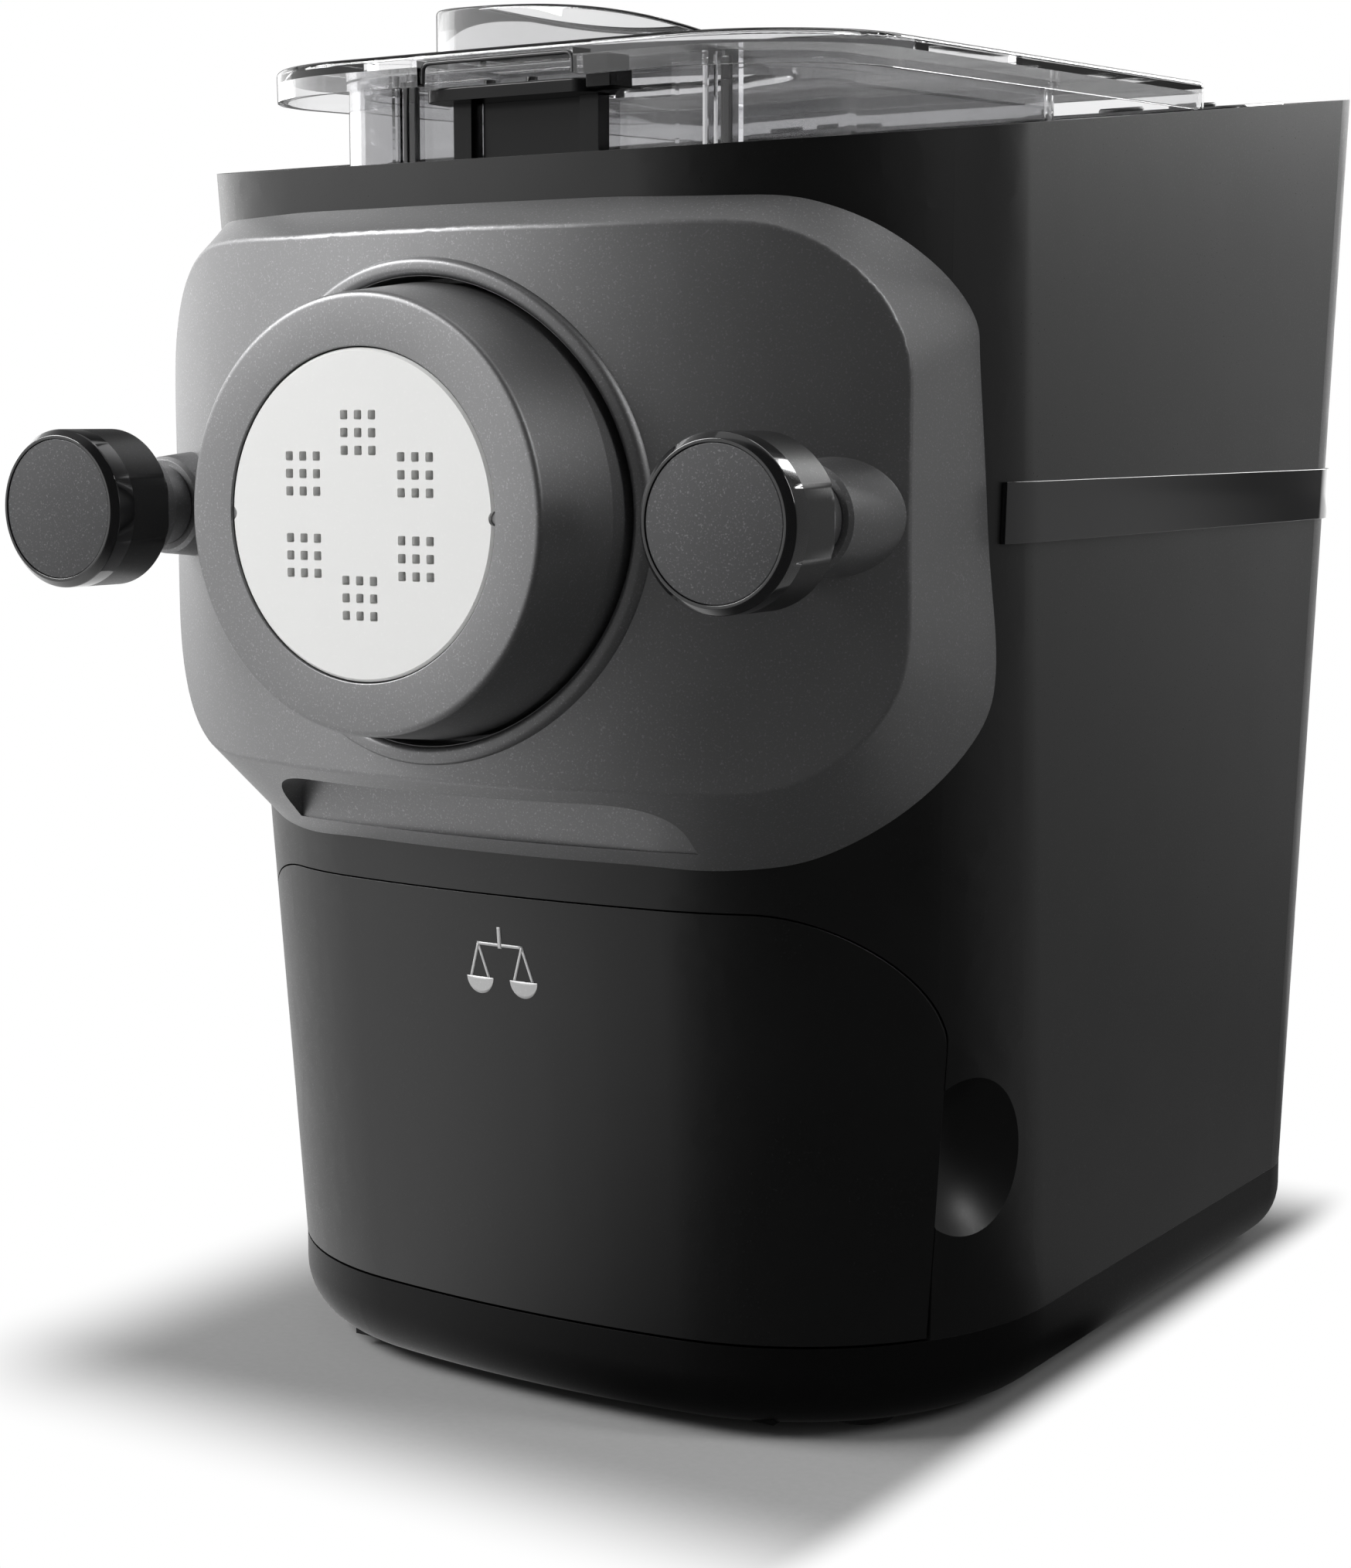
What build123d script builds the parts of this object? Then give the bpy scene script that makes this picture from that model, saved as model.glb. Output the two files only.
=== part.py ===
"""Electric pasta maker: every physical piece as its own STEP file, in one shared frame (mm, +Z up).

X runs to the right seen from the front, the front faces -Y and Z = 0 is the worktop. Inside this file
Y = 0 is the front top edge of the housing; save() moves every piece back by MID_Y so that the finished
machine stands over the origin.
"""
from build123d import *
from math import atan, cos, degrees, pi, radians, sin, sqrt
import os

os.makedirs("parts", exist_ok=True)

# ---------------------------------------------------------------- general (mm)
WALL = 2.6               # moulded housing wall
GAP = 0.3                # between faces of neighbouring bodies
RUN = 0.08               # radial running clearance
BREAK = 0.6              # broken edge of small pieces
FAR = 400.0              # reach of a cutting tool past the machine

# ---------------------------------------------------------------- housing
SEAM_Z = 24.0            # top of the base tray
TOP_Z = 296.2            # front top edge of the housing
TOP_SLOPE = 0.117        # rise of the housing's top edge per mm towards the rear
HALF_W_TOP = 109.0
HALF_W_SEAM = 105.6
FRONT_LEAN = 24.4        # the front stands back this far at the seam
REAR_TOP_Y = 305.9
REAR_LEAN = 22.5         # the rear stands forward this far at the seam
BOW = 17.1               # middle of the front ahead of its ends
CORNER_F = 71.0
CORNER_R = 35.0
SPLIT_Y = 46.5           # seam between the front shell and the side shells, at TOP_Z
SPLIT_SLOPE = 0.0471
COVER_Y = 271.0          # seam between the side shells and the rear cover, at TOP_Z
COVER_SLOPE = 0.0827
FORM_TOP_Z = TOP_Z + 54  # the tapering form is drawn up past the sloping top edge

BAND_Z = 217.55          # middle of the gloss band
BAND_H = 14.1
BAND_PROUD = 1.2
BAND_LAP = 0.02          # the band's seat on the wall
BAND_START = 19.5        # behind the front seam

BASE_Z = 2.0             # underside of the base tray
BASE_EDGE = 15.0         # rounded lower edge
BASE_FLOOR = 3.0
FOOT_IN, FOOT_Y0, FOOT_Y1 = 33.6, 66.0, 236.0
FOOT_R = 9.0
FOOT_PLUG_R, FOOT_PLUG_H = 4.0, 3.0
CELL_W, CELL_L, CELL_H = 14.0, 32.0, 8.0
CELL_BORE_R = 2.6
TRAY_SCREW_IN, TRAY_SCREW_Y = 19.6, (118, 168, 218)
TRAY_SCREW_R, TRAY_HEAD_R, TRAY_HEAD_H = 1.7, 3.4, 2.0
TRAY_BOSS_R, TRAY_BOSS_H = 4.4, 12.0

# ---------------------------------------------------------------- front panel, die holder, disc
AXIS_Z = 217.8           # extruder and drive axis
FACE_Y = -11.0           # middle of the front panel
FACE_BOW = 35.78         # middle of the panel ahead of its ends
RIM_IN = 3.4             # outer edge of the panel inside the housing's top width
FACE_IN = 0.3            # crease inside the outer edge
FACE_Z0, FACE_Z1 = 157.4, 280.5
FACE_CORNER = 34.0
RIM_Z0, RIM_Z1 = 137.6, 286.7
RIM_CORNER_TOP, RIM_CORNER_LOW = 30.0, 42.0
CREASE_R = 1.8           # rounding between face and flange
PANEL_WALL = 3.0
POCKET_HALF_W = 57.6     # finger recess under the panel's lower edge
POCKET_Z0, POCKET_Z1 = 142.0, 154.0
POCKET_CORNER_W, POCKET_CORNER_H = 17.6, 8.0
POCKET_DEPTH = 3.6       # clear of the housing's front
POCKET_WALL = 9.0        # solid round the recess

PANEL_HOLE_R = 52.4
COLLAR_R, COLLAR_DEPTH = 57.0, 12.7
BARREL_R = 51.2          # die holder at the panel
BARREL_FRONT_R = 48.4
BARREL_FRONT_Y = -32.0
BARREL_EDGE = 1.8
FLANGE_R, FLANGE_T = 56.0, 3.3
THROAT_R, THROAT_WIDE_R = 21.0, 33.0
DISC_R, DISC_T = 36.3, 7.0
DISC_WEB, DISC_CUP_R = 3.2, 29.0
DISC_HOLE = 2.05         # square pasta openings
DISC_HOLE_CORNER = 0.35
DISC_PITCH = 3.85
DISC_RING = 18.0         # middle of the disc to the middle of each group
PEG_R = 1.3

# ---------------------------------------------------------------- knobs
KNOB_IN = 14.55          # knob axis inside the crease
KNOB_R, KNOB_L = 18.6, 18.6
KNOB_FRONT_Y = -32.0
KNOB_BEVEL = 1.5
KNOB_FLAT = 1.8          # depth of the two side flats
CAP_R, CAP_T = 16.3, 1.0
CAP_SINK = 0.2
NECK_R, NECK_L = 13.6, 6.2
NECK_ROOT_R = 9.6
BOSS_R, BOSS_ROOT_R = 11.9, 14.0
BOSS_FRONT_Y, BOSS_ROOT_Y = 4.0, 26.0
BOSS_EDGE = 0.9
STEM_R, STEM_ROOT_R = 8.0, 4.0
STEM_END_Y = 38.0
STUD_R, STUD_L = 5.0, 20.0
THREAD_PITCH, THREAD_DEPTH = 2.0, 0.8
COLUMN_R = 10.5          # knob columns in the housing
BUSH_R, BUSH_L = 7.2, 18.0

# ---------------------------------------------------------------- drawer
DRAWER_TOP_Z = 127.5
DRAWER_IN = 7.4          # drawer front inside the housing's seam width
DRAWER_CORNER = 33.0
DRAWER_PLATE = 3.0
DRAWER_SLIT = 0.4        # round the drawer front
BOX_IN = 13.2            # box inside the drawer front
BOX_Z0, BOX_H = 31.0, 86.0
BOX_Y0, BOX_L = 30.0, 146.0
BOX_WALL = 2.0
BOX_CORNER_F, BOX_CORNER_R = 50.0, 8.0
DIVIDER_Y, DIVIDER_T, DIVIDER_H = (78, 128), 1.8, 43.0
PAD_IN, PAD_MARGIN = 30.0, 4.0
DECK_FLOOR_T = 2.4       # deck over the tray
RAIL_IN, RAIL_W, RAIL_GAP = 15.0, 10.0, 0.25
SCOOP_OUT, SCOOP_Y, SCOOP_Z, SCOOP_R = 12.4, 58.6, 66.5, 27.0
SCOOP_WALL = 2.2

# ---------------------------------------------------------------- mixing chamber, screw, paddle
CHAMBER_HALF_W = 70.0
CHAMBER_Y0, CHAMBER_L = 33.0, 144.0
CHAMBER_CORNER_F, CHAMBER_CORNER_R = 30.0, 12.0
CHAMBER_WALL = 2.6
CHAMBER_SHOULDER = 46.0  # the walls are upright this far above the axis
TROUGH_R = 56.0
RIB_X, RIB_T, RIB_SPREAD, RIB_Z0 = (-36, 52), 1.6, 2.6, 240.0
SCREW_R, SCREW_CORE_R = 19.5, 8.0
SCREW_PITCH, SCREW_TURNS, BLADE_T = 20.0, 2, 3.4
TUBE_R, TUBE_OUT_R = 20.2, 24.2
TUBE_FRONT_Y, TUBE_FLANGE_R, TUBE_FLANGE_T = 14.0, 29.0, 3.0
LUG_L = 8.0
SHAFT_R = 6.0
SEAL_R, SEAL_LIP_R, SEAL_T = 10.0, 13.0, 1.4
TANG_HALF = 2.4          # half thickness of the screw's drive tang
PADDLE_HUB_R, PADDLE_HUB_L = 12.0, 96.0
PADDLE_R = 48.5
PADDLE_BAR, PADDLE_BAR_T = 5.0, 6.0
LIP_HALF_W, LIP_DEPTH, LIP_T, LIP_Z = 24.0, 11.0, 3.2, 312.2
ARM_X, ARM_W, ARM_D = (-16.5, 19.5), 5.2, 4.5
BRACKET_Z0, BRACKET_PLATE = 262.0, 1.8
POST_X, POST_R, POST_H = (-8, 4), 1.4, 1.6

# ---------------------------------------------------------------- lid
LID_OUT = 15.0           # past the chamber at each side
LID_AHEAD, LID_BEHIND = 16.0, 61.0
LID_Z = 322.3            # lid top plane at Y = 0
LID_SLOPE = 0.037
LID_RIM = 7.5
LID_PLATE = 3.0
LID_WALL = 2.6
LID_CORNER_F, LID_CORNER_R = 40.0, 8.0
LID_EDGE = 1.5
RIDGE_GAP, RIDGE_T, RIDGE_H = 0.8, 2.0, 3.5
NOTCH_X0, NOTCH_X1, NOTCH_SKIN = -21.0, 23.0, 1.6
FUNNEL_X, FUNNEL_Y = -24.0, 104.0
FUNNEL_LONG, FUNNEL_WIDE, FUNNEL_WALL = 54.0, 27.0, 2.0
FUNNEL_HIGH, FUNNEL_LOW = 20.5, 5.5
CATCH_W, CATCH_L, CATCH_H = 6.8, 9.0, 7.5

# ---------------------------------------------------------------- top deck and controls
DECK_DROP = 4.0          # deck under the rim
DECK_T = 2.6
DECK_Y = 270.0           # middle of the control bezel
WELL_GAP = 1.2           # round the chamber
CHANNEL_HALF_W = 31.0    # the tube lifts out through it
BEZEL_IN, BEZEL_D, BEZEL_T, BEZEL_SINK = 21.0, 42.0, 4.6, 4.0
BEZEL_CORNER = 8.0
DISPLAY_W, DISPLAY_D, DISPLAY_T, DISPLAY_CORNER = 62.0, 26.0, 1.2, 3.0
CONTROL_X = (-66, -44, 44, 66)
BUTTON_R, BUTTON_H, BUTTON_DISH_R = 6.6, 5.2, 22.6
BUTTON_PLAY = 0.6        # round the button where it sinks through the deck
BUTTON_LOW = 3.4         # its underside under the deck's top
PLUNGER_R, PLUNGER_Z0 = 3.4, 11.2
BOARD_IN, BOARD_D, BOARD_T, BOARD_DROP = 6.0, 36.0, 1.6, 13.6
SWITCH_PAD, SWITCH_PAD_H = 6.0, 1.0
BOARD_POST_IN, BOARD_POST_X, BOARD_POST_Y, BOARD_POST_R = 4.0, 25.0, 13.0, 2.4

# ---------------------------------------------------------------- frame and drive
CRADLE_T = 4.0
CRADLE_Y0 = 60.0
SADDLE_Y, SADDLE_T, SADDLE_HALF_W, SADDLE_H = (66, 140), 12.0, 40.0, 62.0
SADDLE_PLAY = 0.15
BULKHEAD_T = 4.0
BULKHEAD_TOP_Z = 288.0
WINDOW_X, WINDOW_HALF_W, WINDOW_Z0, WINDOW_Z1 = 62.0, 18.0, 146.0, 196.0
COUPLING_R = 12.5
GEAR_MODULE = 1.5
OUT_TEETH, IDLER_TEETH, SMALL_TEETH, MOTOR_TEETH = 60, 48, 14, 12
GEAR_T, PINION_OVER = 8.0, 1.0
AXLE_R = 4.0
BEARING_R, BEARING_T = 13.0, 5.0
CASE_HALF_W, CASE_L, CASE_WALL = 52.0, 30.5, 2.5
CASE_Z0, CASE_Z1 = 100.0, 268.0
CASE_CORNER_TOP, CASE_CORNER_LOW = 20.0, 14.0
MOTOR_R, MOTOR_L = 32.0, 53.5
MOTOR_BOSS_R, MOTOR_STEP, MOTOR_CAP = 12.0, 2.0, 4.0
FAN_R, FAN_BLADES, FAN_HUB_R, FAN_T = 28.0, 7, 9.0, 5.0
POWER_BOARD = (56.0, 98.0, 96.0, 140.0)
POWER_BOARD_T, POWER_POST_R, POWER_POST_L = 1.6, 2.5, 6.0
POWER_BLOCKS = ((66, 108, 10, 12), (84, 110, 14, 10), (70, 128, 16, 10), (90, 130, 6, 8))

# ---------------------------------------------------------------- rear: slots, gland, switch
SLOT_COUNT, SLOT_PITCH, SLOT_HALF_W, SLOT_Z0, SLOT_Z1 = 13, 9.0, 1.8, 92.0, 138.0
GLAND_X, GLAND_Z, GLAND_BORE_R, GLAND_R, GLAND_RIM_R = -62.0, 52.0, 4.0, 9.2, 11.5
GLAND_L, GLAND_RIM_T, GLAND_NOSE = 14.0, 2.2, 4.5
SWITCH_X, SWITCH_Z, SWITCH_HALF_W, SWITCH_HALF_H = 62.0, 52.0, 13.4, 11.4
SWITCH_FRAME_WALL, SWITCH_DEPTH, SWITCH_BACK = 2.4, 16.0, 2.0
ROCKER_R, ROCKER_PLAY = 6.0, 0.6

# ---------------------------------------------------------------- values that follow from the above
TAPER = (HALF_W_TOP - HALF_W_SEAM, TOP_Z - SEAM_Z)
RIM_HALF_W = HALF_W_TOP - RIM_IN
FACE_HALF_W = RIM_HALF_W - FACE_IN
FACE_R = (FACE_HALF_W ** 2 + FACE_BOW ** 2) / (2 * FACE_BOW)
KNOB_X = FACE_HALF_W - KNOB_IN
FOOT_X = HALF_W_SEAM - FOOT_IN
TRAY_SCREW_X = HALF_W_SEAM - TRAY_SCREW_IN
DRAWER_HALF_W = HALF_W_SEAM - DRAWER_IN
BOX_HALF_W = DRAWER_HALF_W - BOX_IN
PAD_HALF_W = BOX_HALF_W - PAD_IN
RAIL_X = BOX_HALF_W - RAIL_IN
SCOOP_X = HALF_W_SEAM + SCOOP_OUT
BEZEL_W = 2 * (HALF_W_TOP - BEZEL_IN)
BOARD_W = BEZEL_W - 2 * BOARD_IN
BOARD_POSTS_X = (BOARD_POST_IN - BOARD_W / 2, -BOARD_POST_X, BOARD_POST_X, BOARD_W / 2 - BOARD_POST_IN)
LID_HALF_W = CHAMBER_HALF_W + LID_OUT
LID_Y0 = CHAMBER_Y0 - LID_AHEAD
LID_L = CHAMBER_L + LID_AHEAD + LID_BEHIND
REAR_SLOPE = REAR_LEAN / (TOP_Z - SEAM_Z)
REAR_EDGE_Y = REAR_TOP_Y / (1 - TOP_SLOPE * REAR_SLOPE)
MID_Y = (BARREL_FRONT_Y + REAR_EDGE_Y) / 2
FLANGE_Y = FACE_Y + COLLAR_DEPTH
BUSH_Y = STEM_END_Y + 6
CHAMBER_Y1 = CHAMBER_Y0 + CHAMBER_L
BULKHEAD_Y0 = CHAMBER_Y1 + 5
BULKHEAD_Y1 = BULKHEAD_Y0 + BULKHEAD_T
CASE_Y1 = BULKHEAD_Y1 + CASE_L
CRADLE_Z = DRAWER_TOP_Z + 2.5
IDLER_Z = AXIS_Z - GEAR_MODULE * (OUT_TEETH + SMALL_TEETH) / 2
MOTOR_Z = IDLER_Z - GEAR_MODULE * (IDLER_TEETH + MOTOR_TEETH) / 2
MOTOR_Y0 = CASE_Y1 + MOTOR_STEP
MOTOR_Y1 = MOTOR_Y0 + MOTOR_L
BOX_Y1 = BOX_Y0 + BOX_L
BOX_Z1 = BOX_Z0 + BOX_H

TOP_PLANE = Plane(origin=(0, 0, TOP_Z), z_dir=(0, -TOP_SLOPE, 1))
SPLIT_PLANE = Plane(origin=(0, SPLIT_Y, TOP_Z), z_dir=(0, 1, SPLIT_SLOPE))
COVER_PLANE = Plane(origin=(0, COVER_Y, TOP_Z), z_dir=(0, 1, -COVER_SLOPE))


def save(name, shape):
    """Write one piece in the shared frame."""
    export_step(Pos(0, -MID_Y, 0) * shape, f"parts/{name}.step")


# ---------------------------------------------------------------- shared forms
def along_y(x, z, r, y0, y1):
    """Round bar along Y."""
    return Pos(x, (y0 + y1) / 2, z) * Rot(90, 0, 0) * Cylinder(r, y1 - y0)


def block(x0, x1, y0, y1, z0, z1):
    """Box by its limits."""
    return Pos((x0 + x1) / 2, (y0 + y1) / 2, (z0 + z1) / 2) * Box(x1 - x0, y1 - y0, z1 - z0)


def slab(y0, y1, z0=-FAR, z1=FAR):
    """Cutting block over the whole width."""
    return block(-FAR, FAR, y0, y1, z0, z1)


def turned(x, z, points):
    """Solid of revolution about a Y-parallel axis through (x, z); points are (radius, y)."""
    return Pos(x, 0, z) * revolve(make_face(Polyline(*points, close=True)), Axis.Y)


def ring(x, z, r_in, r_out, y0, y1):
    """Round sleeve along Y."""
    return turned(x, z, [(r_in, y0), (r_out, y0), (r_out, y1), (r_in, y1)])


def rounded(x0, x1, y0, y1, r_low, r_high):
    """Rectangle with its own radius at each end of Y."""
    face = make_face(Polyline((x0, y0), (x1, y0), (x1, y1), (x0, y1), close=True))
    if r_high > 0:
        face = fillet(face.vertices().sort_by(Axis.Y)[-2:], r_high)
    if r_low > 0:
        face = fillet(face.vertices().sort_by(Axis.Y)[:2], r_low)
    return face


def plate_xz(half_w, z0, z1, r_top, r_low, y0, y1):
    """Rounded rectangle in the X-Z plane, drawn through from y0 to y1."""
    return Pos(0, y1, 0) * extrude(Rot(90, 0, 0) * rounded(-half_w, half_w, z0, z1, r_low, r_top), y1 - y0)


def pillar_xy(half_w, y0, y1, r_front, r_rear, z0, z1):
    """Rounded rectangle in plan, drawn up from z0 to z1."""
    return Pos(0, 0, z0) * extrude(rounded(-half_w, half_w, y0, y1, r_front, r_rear), z1 - z0)


def sides(value):
    """A distance to the left and to the right of the middle."""
    return (-value, value)


def half_width(z):
    """Half width of the housing at a height."""
    return HALF_W_SEAM + TAPER[0] * (z - SEAM_Z) / TAPER[1]


def front_y(z):
    """Foremost Y of the housing at a height."""
    return FRONT_LEAN * (TOP_Z - z) / TAPER[1]


def rear_y(z):
    """Rearmost Y of the housing at a height."""
    return REAR_TOP_Y + REAR_SLOPE * (z - TOP_Z)


def housing_plan(z, inset=0.0):
    """Plan outline of the housing at a height: bowed front, rounded corners."""
    a = half_width(z) - inset
    front = front_y(z) + inset
    rear = rear_y(z) - inset
    bow = ThreePointArc((-a, front + BOW), (0, front), (a, front + BOW))
    rest = Polyline((a, front + BOW), (a, rear), (-a, rear), (-a, front + BOW))
    face = make_face([bow] + rest.edges())
    face = fillet(face.vertices().sort_by(Axis.Y)[:2], CORNER_F - inset)
    face = fillet(face.vertices().sort_by(Axis.Y)[-2:], CORNER_R - inset)
    return Pos(0, 0, z) * face


def housing_form(inset=0.0, z0=SEAM_Z, z1=FORM_TOP_Z):
    """Tapering body between two heights."""
    return loft([housing_plan(z0, inset), housing_plan(z1, inset)], ruled=True)


def housing_front_y(x, z):
    """Y of the housing's outer face at (x, z), front and front corners."""
    a = half_width(z)
    big = (a * a + BOW * BOW) / (2 * BOW)
    centre_x = a - CORNER_F
    centre_y = big - sqrt((big - CORNER_F) ** 2 - centre_x ** 2)
    touch_x = centre_x * big / (big - CORNER_F)
    if abs(x) < touch_x:
        return front_y(z) + big - sqrt(big * big - x * x)
    return front_y(z) + centre_y - sqrt(max(CORNER_F ** 2 - (abs(x) - centre_x) ** 2, 0))


def below_top(shape, drop=0.0):
    """Keep what lies under the sloping top edge."""
    return split(shape, bisect_by=TOP_PLANE.offset(-drop), keep=Keep.BOTTOM)


def deck_z(y):
    """Height of the sloping top plane."""
    return TOP_Z + TOP_SLOPE * y


# ---------------------------------------------------------------- front panel
def corner_path(half_w, z0, z1, r_top, r_low):
    """Points round a rounded rectangle (x, z), spread over corners and sides."""
    corners = (
        (half_w - r_top, z1 - r_top, r_top, 0),
        (r_top - half_w, z1 - r_top, r_top, 90),
        (r_low - half_w, z0 + r_low, r_low, 180),
        (half_w - r_low, z0 + r_low, r_low, 270),
    )
    points = []
    for i, (cx, cz, r, start) in enumerate(corners):
        nx, nz, nr, nstart = corners[(i + 1) % 4]
        for k in range(7):
            angle = radians(start + 15 * k)
            points.append((cx + r * cos(angle), cz + r * sin(angle)))
        last_x, last_z = points[-1]
        next_x = nx + nr * cos(radians(nstart))
        next_z = nz + nr * sin(radians(nstart))
        steps = 6 if i % 2 == 0 else 3
        for k in range(1, steps):
            share = k / steps
            points.append((last_x + (next_x - last_x) * share, last_z + (next_z - last_z) * share))
    return points


def face_y(x):
    """Y of the panel's face over its width."""
    return FACE_Y + FACE_R - sqrt(FACE_R ** 2 - x * x)


def flange_tool(inset=0.0):
    """Solid whose side runs through the face outline and the outer outline of the panel."""
    near = FACE_Y - 20
    far = SPLIT_Y + 34
    inner = FACE_CORNER - inset
    face_path = corner_path(FACE_HALF_W - inset, FACE_Z0 + inset, FACE_Z1 - inset, inner, inner)
    rim_top, rim_low = RIM_CORNER_TOP - inset, RIM_CORNER_LOW - inset
    rim_path = corner_path(RIM_HALF_W - inset, RIM_Z0 + inset, RIM_Z1 - inset, rim_top, rim_low)
    front, rear, marks = [], [], [0.0]
    for (x1, z1), (x2, z2) in zip(face_path, face_path[1:] + face_path[:1]):
        marks.append(marks[-1] + sqrt((x2 - x1) ** 2 + (z2 - z1) ** 2))
    for (x1, z1), (x2, z2) in zip(face_path, rim_path):
        a = Vector(x1, face_y(x1), z1)
        b = Vector(x2, housing_front_y(x2, z2), z2)
        step = b - a
        front.append(a + step * ((near - a.Y) / step.Y))
        rear.append(a + step * ((far - a.Y) / step.Y))
    wires = [Wire([Edge.make_spline(path, periodic=True, parameters=marks)]) for path in (front, rear)]
    return Part() + Solid.make_loft(wires, ruled=True)


def panel_form(inset=0.0):
    """Front panel as a full block, its back open towards the housing."""
    return flange_tool(inset) & Pos(0, FACE_Y + FACE_R, AXIS_Z) * Cylinder(FACE_R - inset, FAR)


def creased_form():
    """Full block with the crease between face and flange rounded."""
    form = panel_form()
    face = max((f for f in form.faces() if f.geom_type == GeomType.CYLINDER), key=lambda f: f.area)
    return fillet(face.edges(), CREASE_R)


def pocket_tool(grow=0.0):
    """Column of the finger recess: flat below, with long soft corners above."""
    w, z0, z1 = POCKET_HALF_W + grow, POCKET_Z0 - grow, POCKET_Z1 + grow
    x, z = w - POCKET_CORNER_W, z1 - POCKET_CORNER_H
    arcs = [Bezier((w, z), (w, z1), (x, z1)), Bezier((-x, z1), (-w, z1), (-w, z))]
    lines = [Line((x, z1), (-x, z1)), Polyline((-w, z), (-w, z0), (w, z0), (w, z))]
    face = make_face([arcs[0], lines[0], arcs[1]] + lines[1].edges())
    return Pos(0, SPLIT_Y, 0) * extrude(Rot(90, 0, 0) * face, SPLIT_Y - FACE_Y)


def front_panel():
    """Hollow bowed panel with a barrel hole, two bosses and a finger recess under the lower edge."""
    form = creased_form()
    shape = form - (panel_form(PANEL_WALL) - pocket_tool(POCKET_WALL))
    shape += ring(0, AXIS_Z, PANEL_HOLE_R, COLLAR_R, FACE_Y - 5, FLANGE_Y) & form
    boss = [
        (0, BOSS_FRONT_Y), (BOSS_R - BOSS_EDGE, BOSS_FRONT_Y), (BOSS_R, BOSS_FRONT_Y + BOSS_EDGE),
        (BOSS_ROOT_R, BOSS_ROOT_Y), (BOSS_ROOT_R, FAR), (0, FAR),
    ]
    for x in sides(KNOB_X):
        shape += turned(x, AXIS_Z, boss)
    shape -= housing_form(-GAP) + slab(SPLIT_Y + 30, 2 * FAR)
    shape -= along_y(0, AXIS_Z, PANEL_HOLE_R, -FAR, FAR)
    shape -= along_y(0, AXIS_Z, FLANGE_R + GAP, FLANGE_Y, FAR)
    for x in sides(KNOB_X):
        shape -= along_y(x, AXIS_Z, STEM_R + RUN, -FAR, FAR)
    return shape - (pocket_tool() - housing_form(-POCKET_DEPTH))


def die_holder():
    """Barrel that carries the shaping disc and leads the dough to it."""
    y = BARREL_FRONT_Y
    seat = DISC_R + GAP
    flange_end = FLANGE_Y + FLANGE_T
    spigot_end = TUBE_FRONT_Y - GAP
    front_r, edge = BARREL_FRONT_R, BARREL_EDGE
    profile = [
        (seat, y), (front_r - edge, y), (front_r - 0.3 * edge, y + 0.3 * edge),
        (front_r, y + edge), (BARREL_R, FACE_Y + 2), (BARREL_R, FLANGE_Y),
        (FLANGE_R, FLANGE_Y), (FLANGE_R, flange_end), (TUBE_OUT_R + 1.8, flange_end),
        (TUBE_OUT_R, flange_end + 3), (TUBE_OUT_R, spigot_end), (THROAT_R, spigot_end),
        (THROAT_R, flange_end + 1), (THROAT_WIDE_R - 3, y + 24), (THROAT_WIDE_R, y + 10),
        (THROAT_WIDE_R, y + DISC_T), (seat, y + DISC_T),
    ]
    shape = turned(0, AXIS_Z, profile)
    for x in sides(seat):
        shape += along_y(x, AXIS_Z, PEG_R, y + BREAK, y + DISC_T)
    return shape


def shaping_disc():
    """White disc with six groups of nine square openings, a bevelled rim and two peg notches."""
    y = BARREL_FRONT_Y
    profile = [(0, y), (DISC_R - BREAK, y), (DISC_R, y + BREAK), (DISC_R, y + DISC_T), (0, y + DISC_T)]
    shape = turned(0, AXIS_Z, profile)
    shape -= along_y(0, AXIS_Z, DISC_CUP_R, y + DISC_WEB, y + DISC_T + 1)
    for x in sides(DISC_R + GAP):
        shape -= along_y(x, AXIS_Z, PEG_R + GAP, y - 1, y + DISC_T + 1)
    square = RectangleRounded(DISC_HOLE, DISC_HOLE, DISC_HOLE_CORNER)
    hole = Rot(90, 0, 0) * extrude(square, DISC_T, both=True)
    for group in range(6):
        angle = radians(30 + 60 * group)
        cx = DISC_RING * cos(angle)
        cz = AXIS_Z + DISC_RING * sin(angle)
        for column in (-1, 0, 1):
            for row in (-1, 0, 1):
                shape -= Pos(cx + column * DISC_PITCH, y, cz + row * DISC_PITCH) * hole
    return shape


def knob_head(x):
    """Turned head with two flats, a pocket for the cap and a stepped neck."""
    y = KNOB_FRONT_Y
    back = y + KNOB_L
    neck_end = back + BREAK * 2 + NECK_L
    pocket_r = CAP_R + 0.1
    pocket_y = y + CAP_SINK + CAP_T
    foot_y = BOSS_FRONT_Y - GAP
    profile = [
        (0, pocket_y), (pocket_r, pocket_y), (pocket_r, y), (KNOB_R - 0.9 * KNOB_BEVEL, y),
        (KNOB_R, y + KNOB_BEVEL), (KNOB_R, back), (KNOB_R - 2 * BREAK, back + 2 * BREAK),
        (NECK_R, back + 2 * BREAK), (NECK_R, neck_end), (NECK_ROOT_R, neck_end + 1), (NECK_ROOT_R, foot_y),
        (0, foot_y),
    ]
    head = turned(x, AXIS_Z, profile)
    flat = block(KNOB_R - KNOB_FLAT, FAR, y + 6.5, y + 20.5, -FAR, FAR)
    head -= Pos(x, 0, 0) * (flat + mirror(flat, about=Plane.YZ))
    return head - along_y(x, AXIS_Z, STEM_ROOT_R, -10, 10)


def knob_cap(x):
    """Inset disc on the knob's front."""
    return along_y(x, AXIS_Z, CAP_R, KNOB_FRONT_Y + CAP_SINK, KNOB_FRONT_Y + CAP_SINK + CAP_T)


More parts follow.
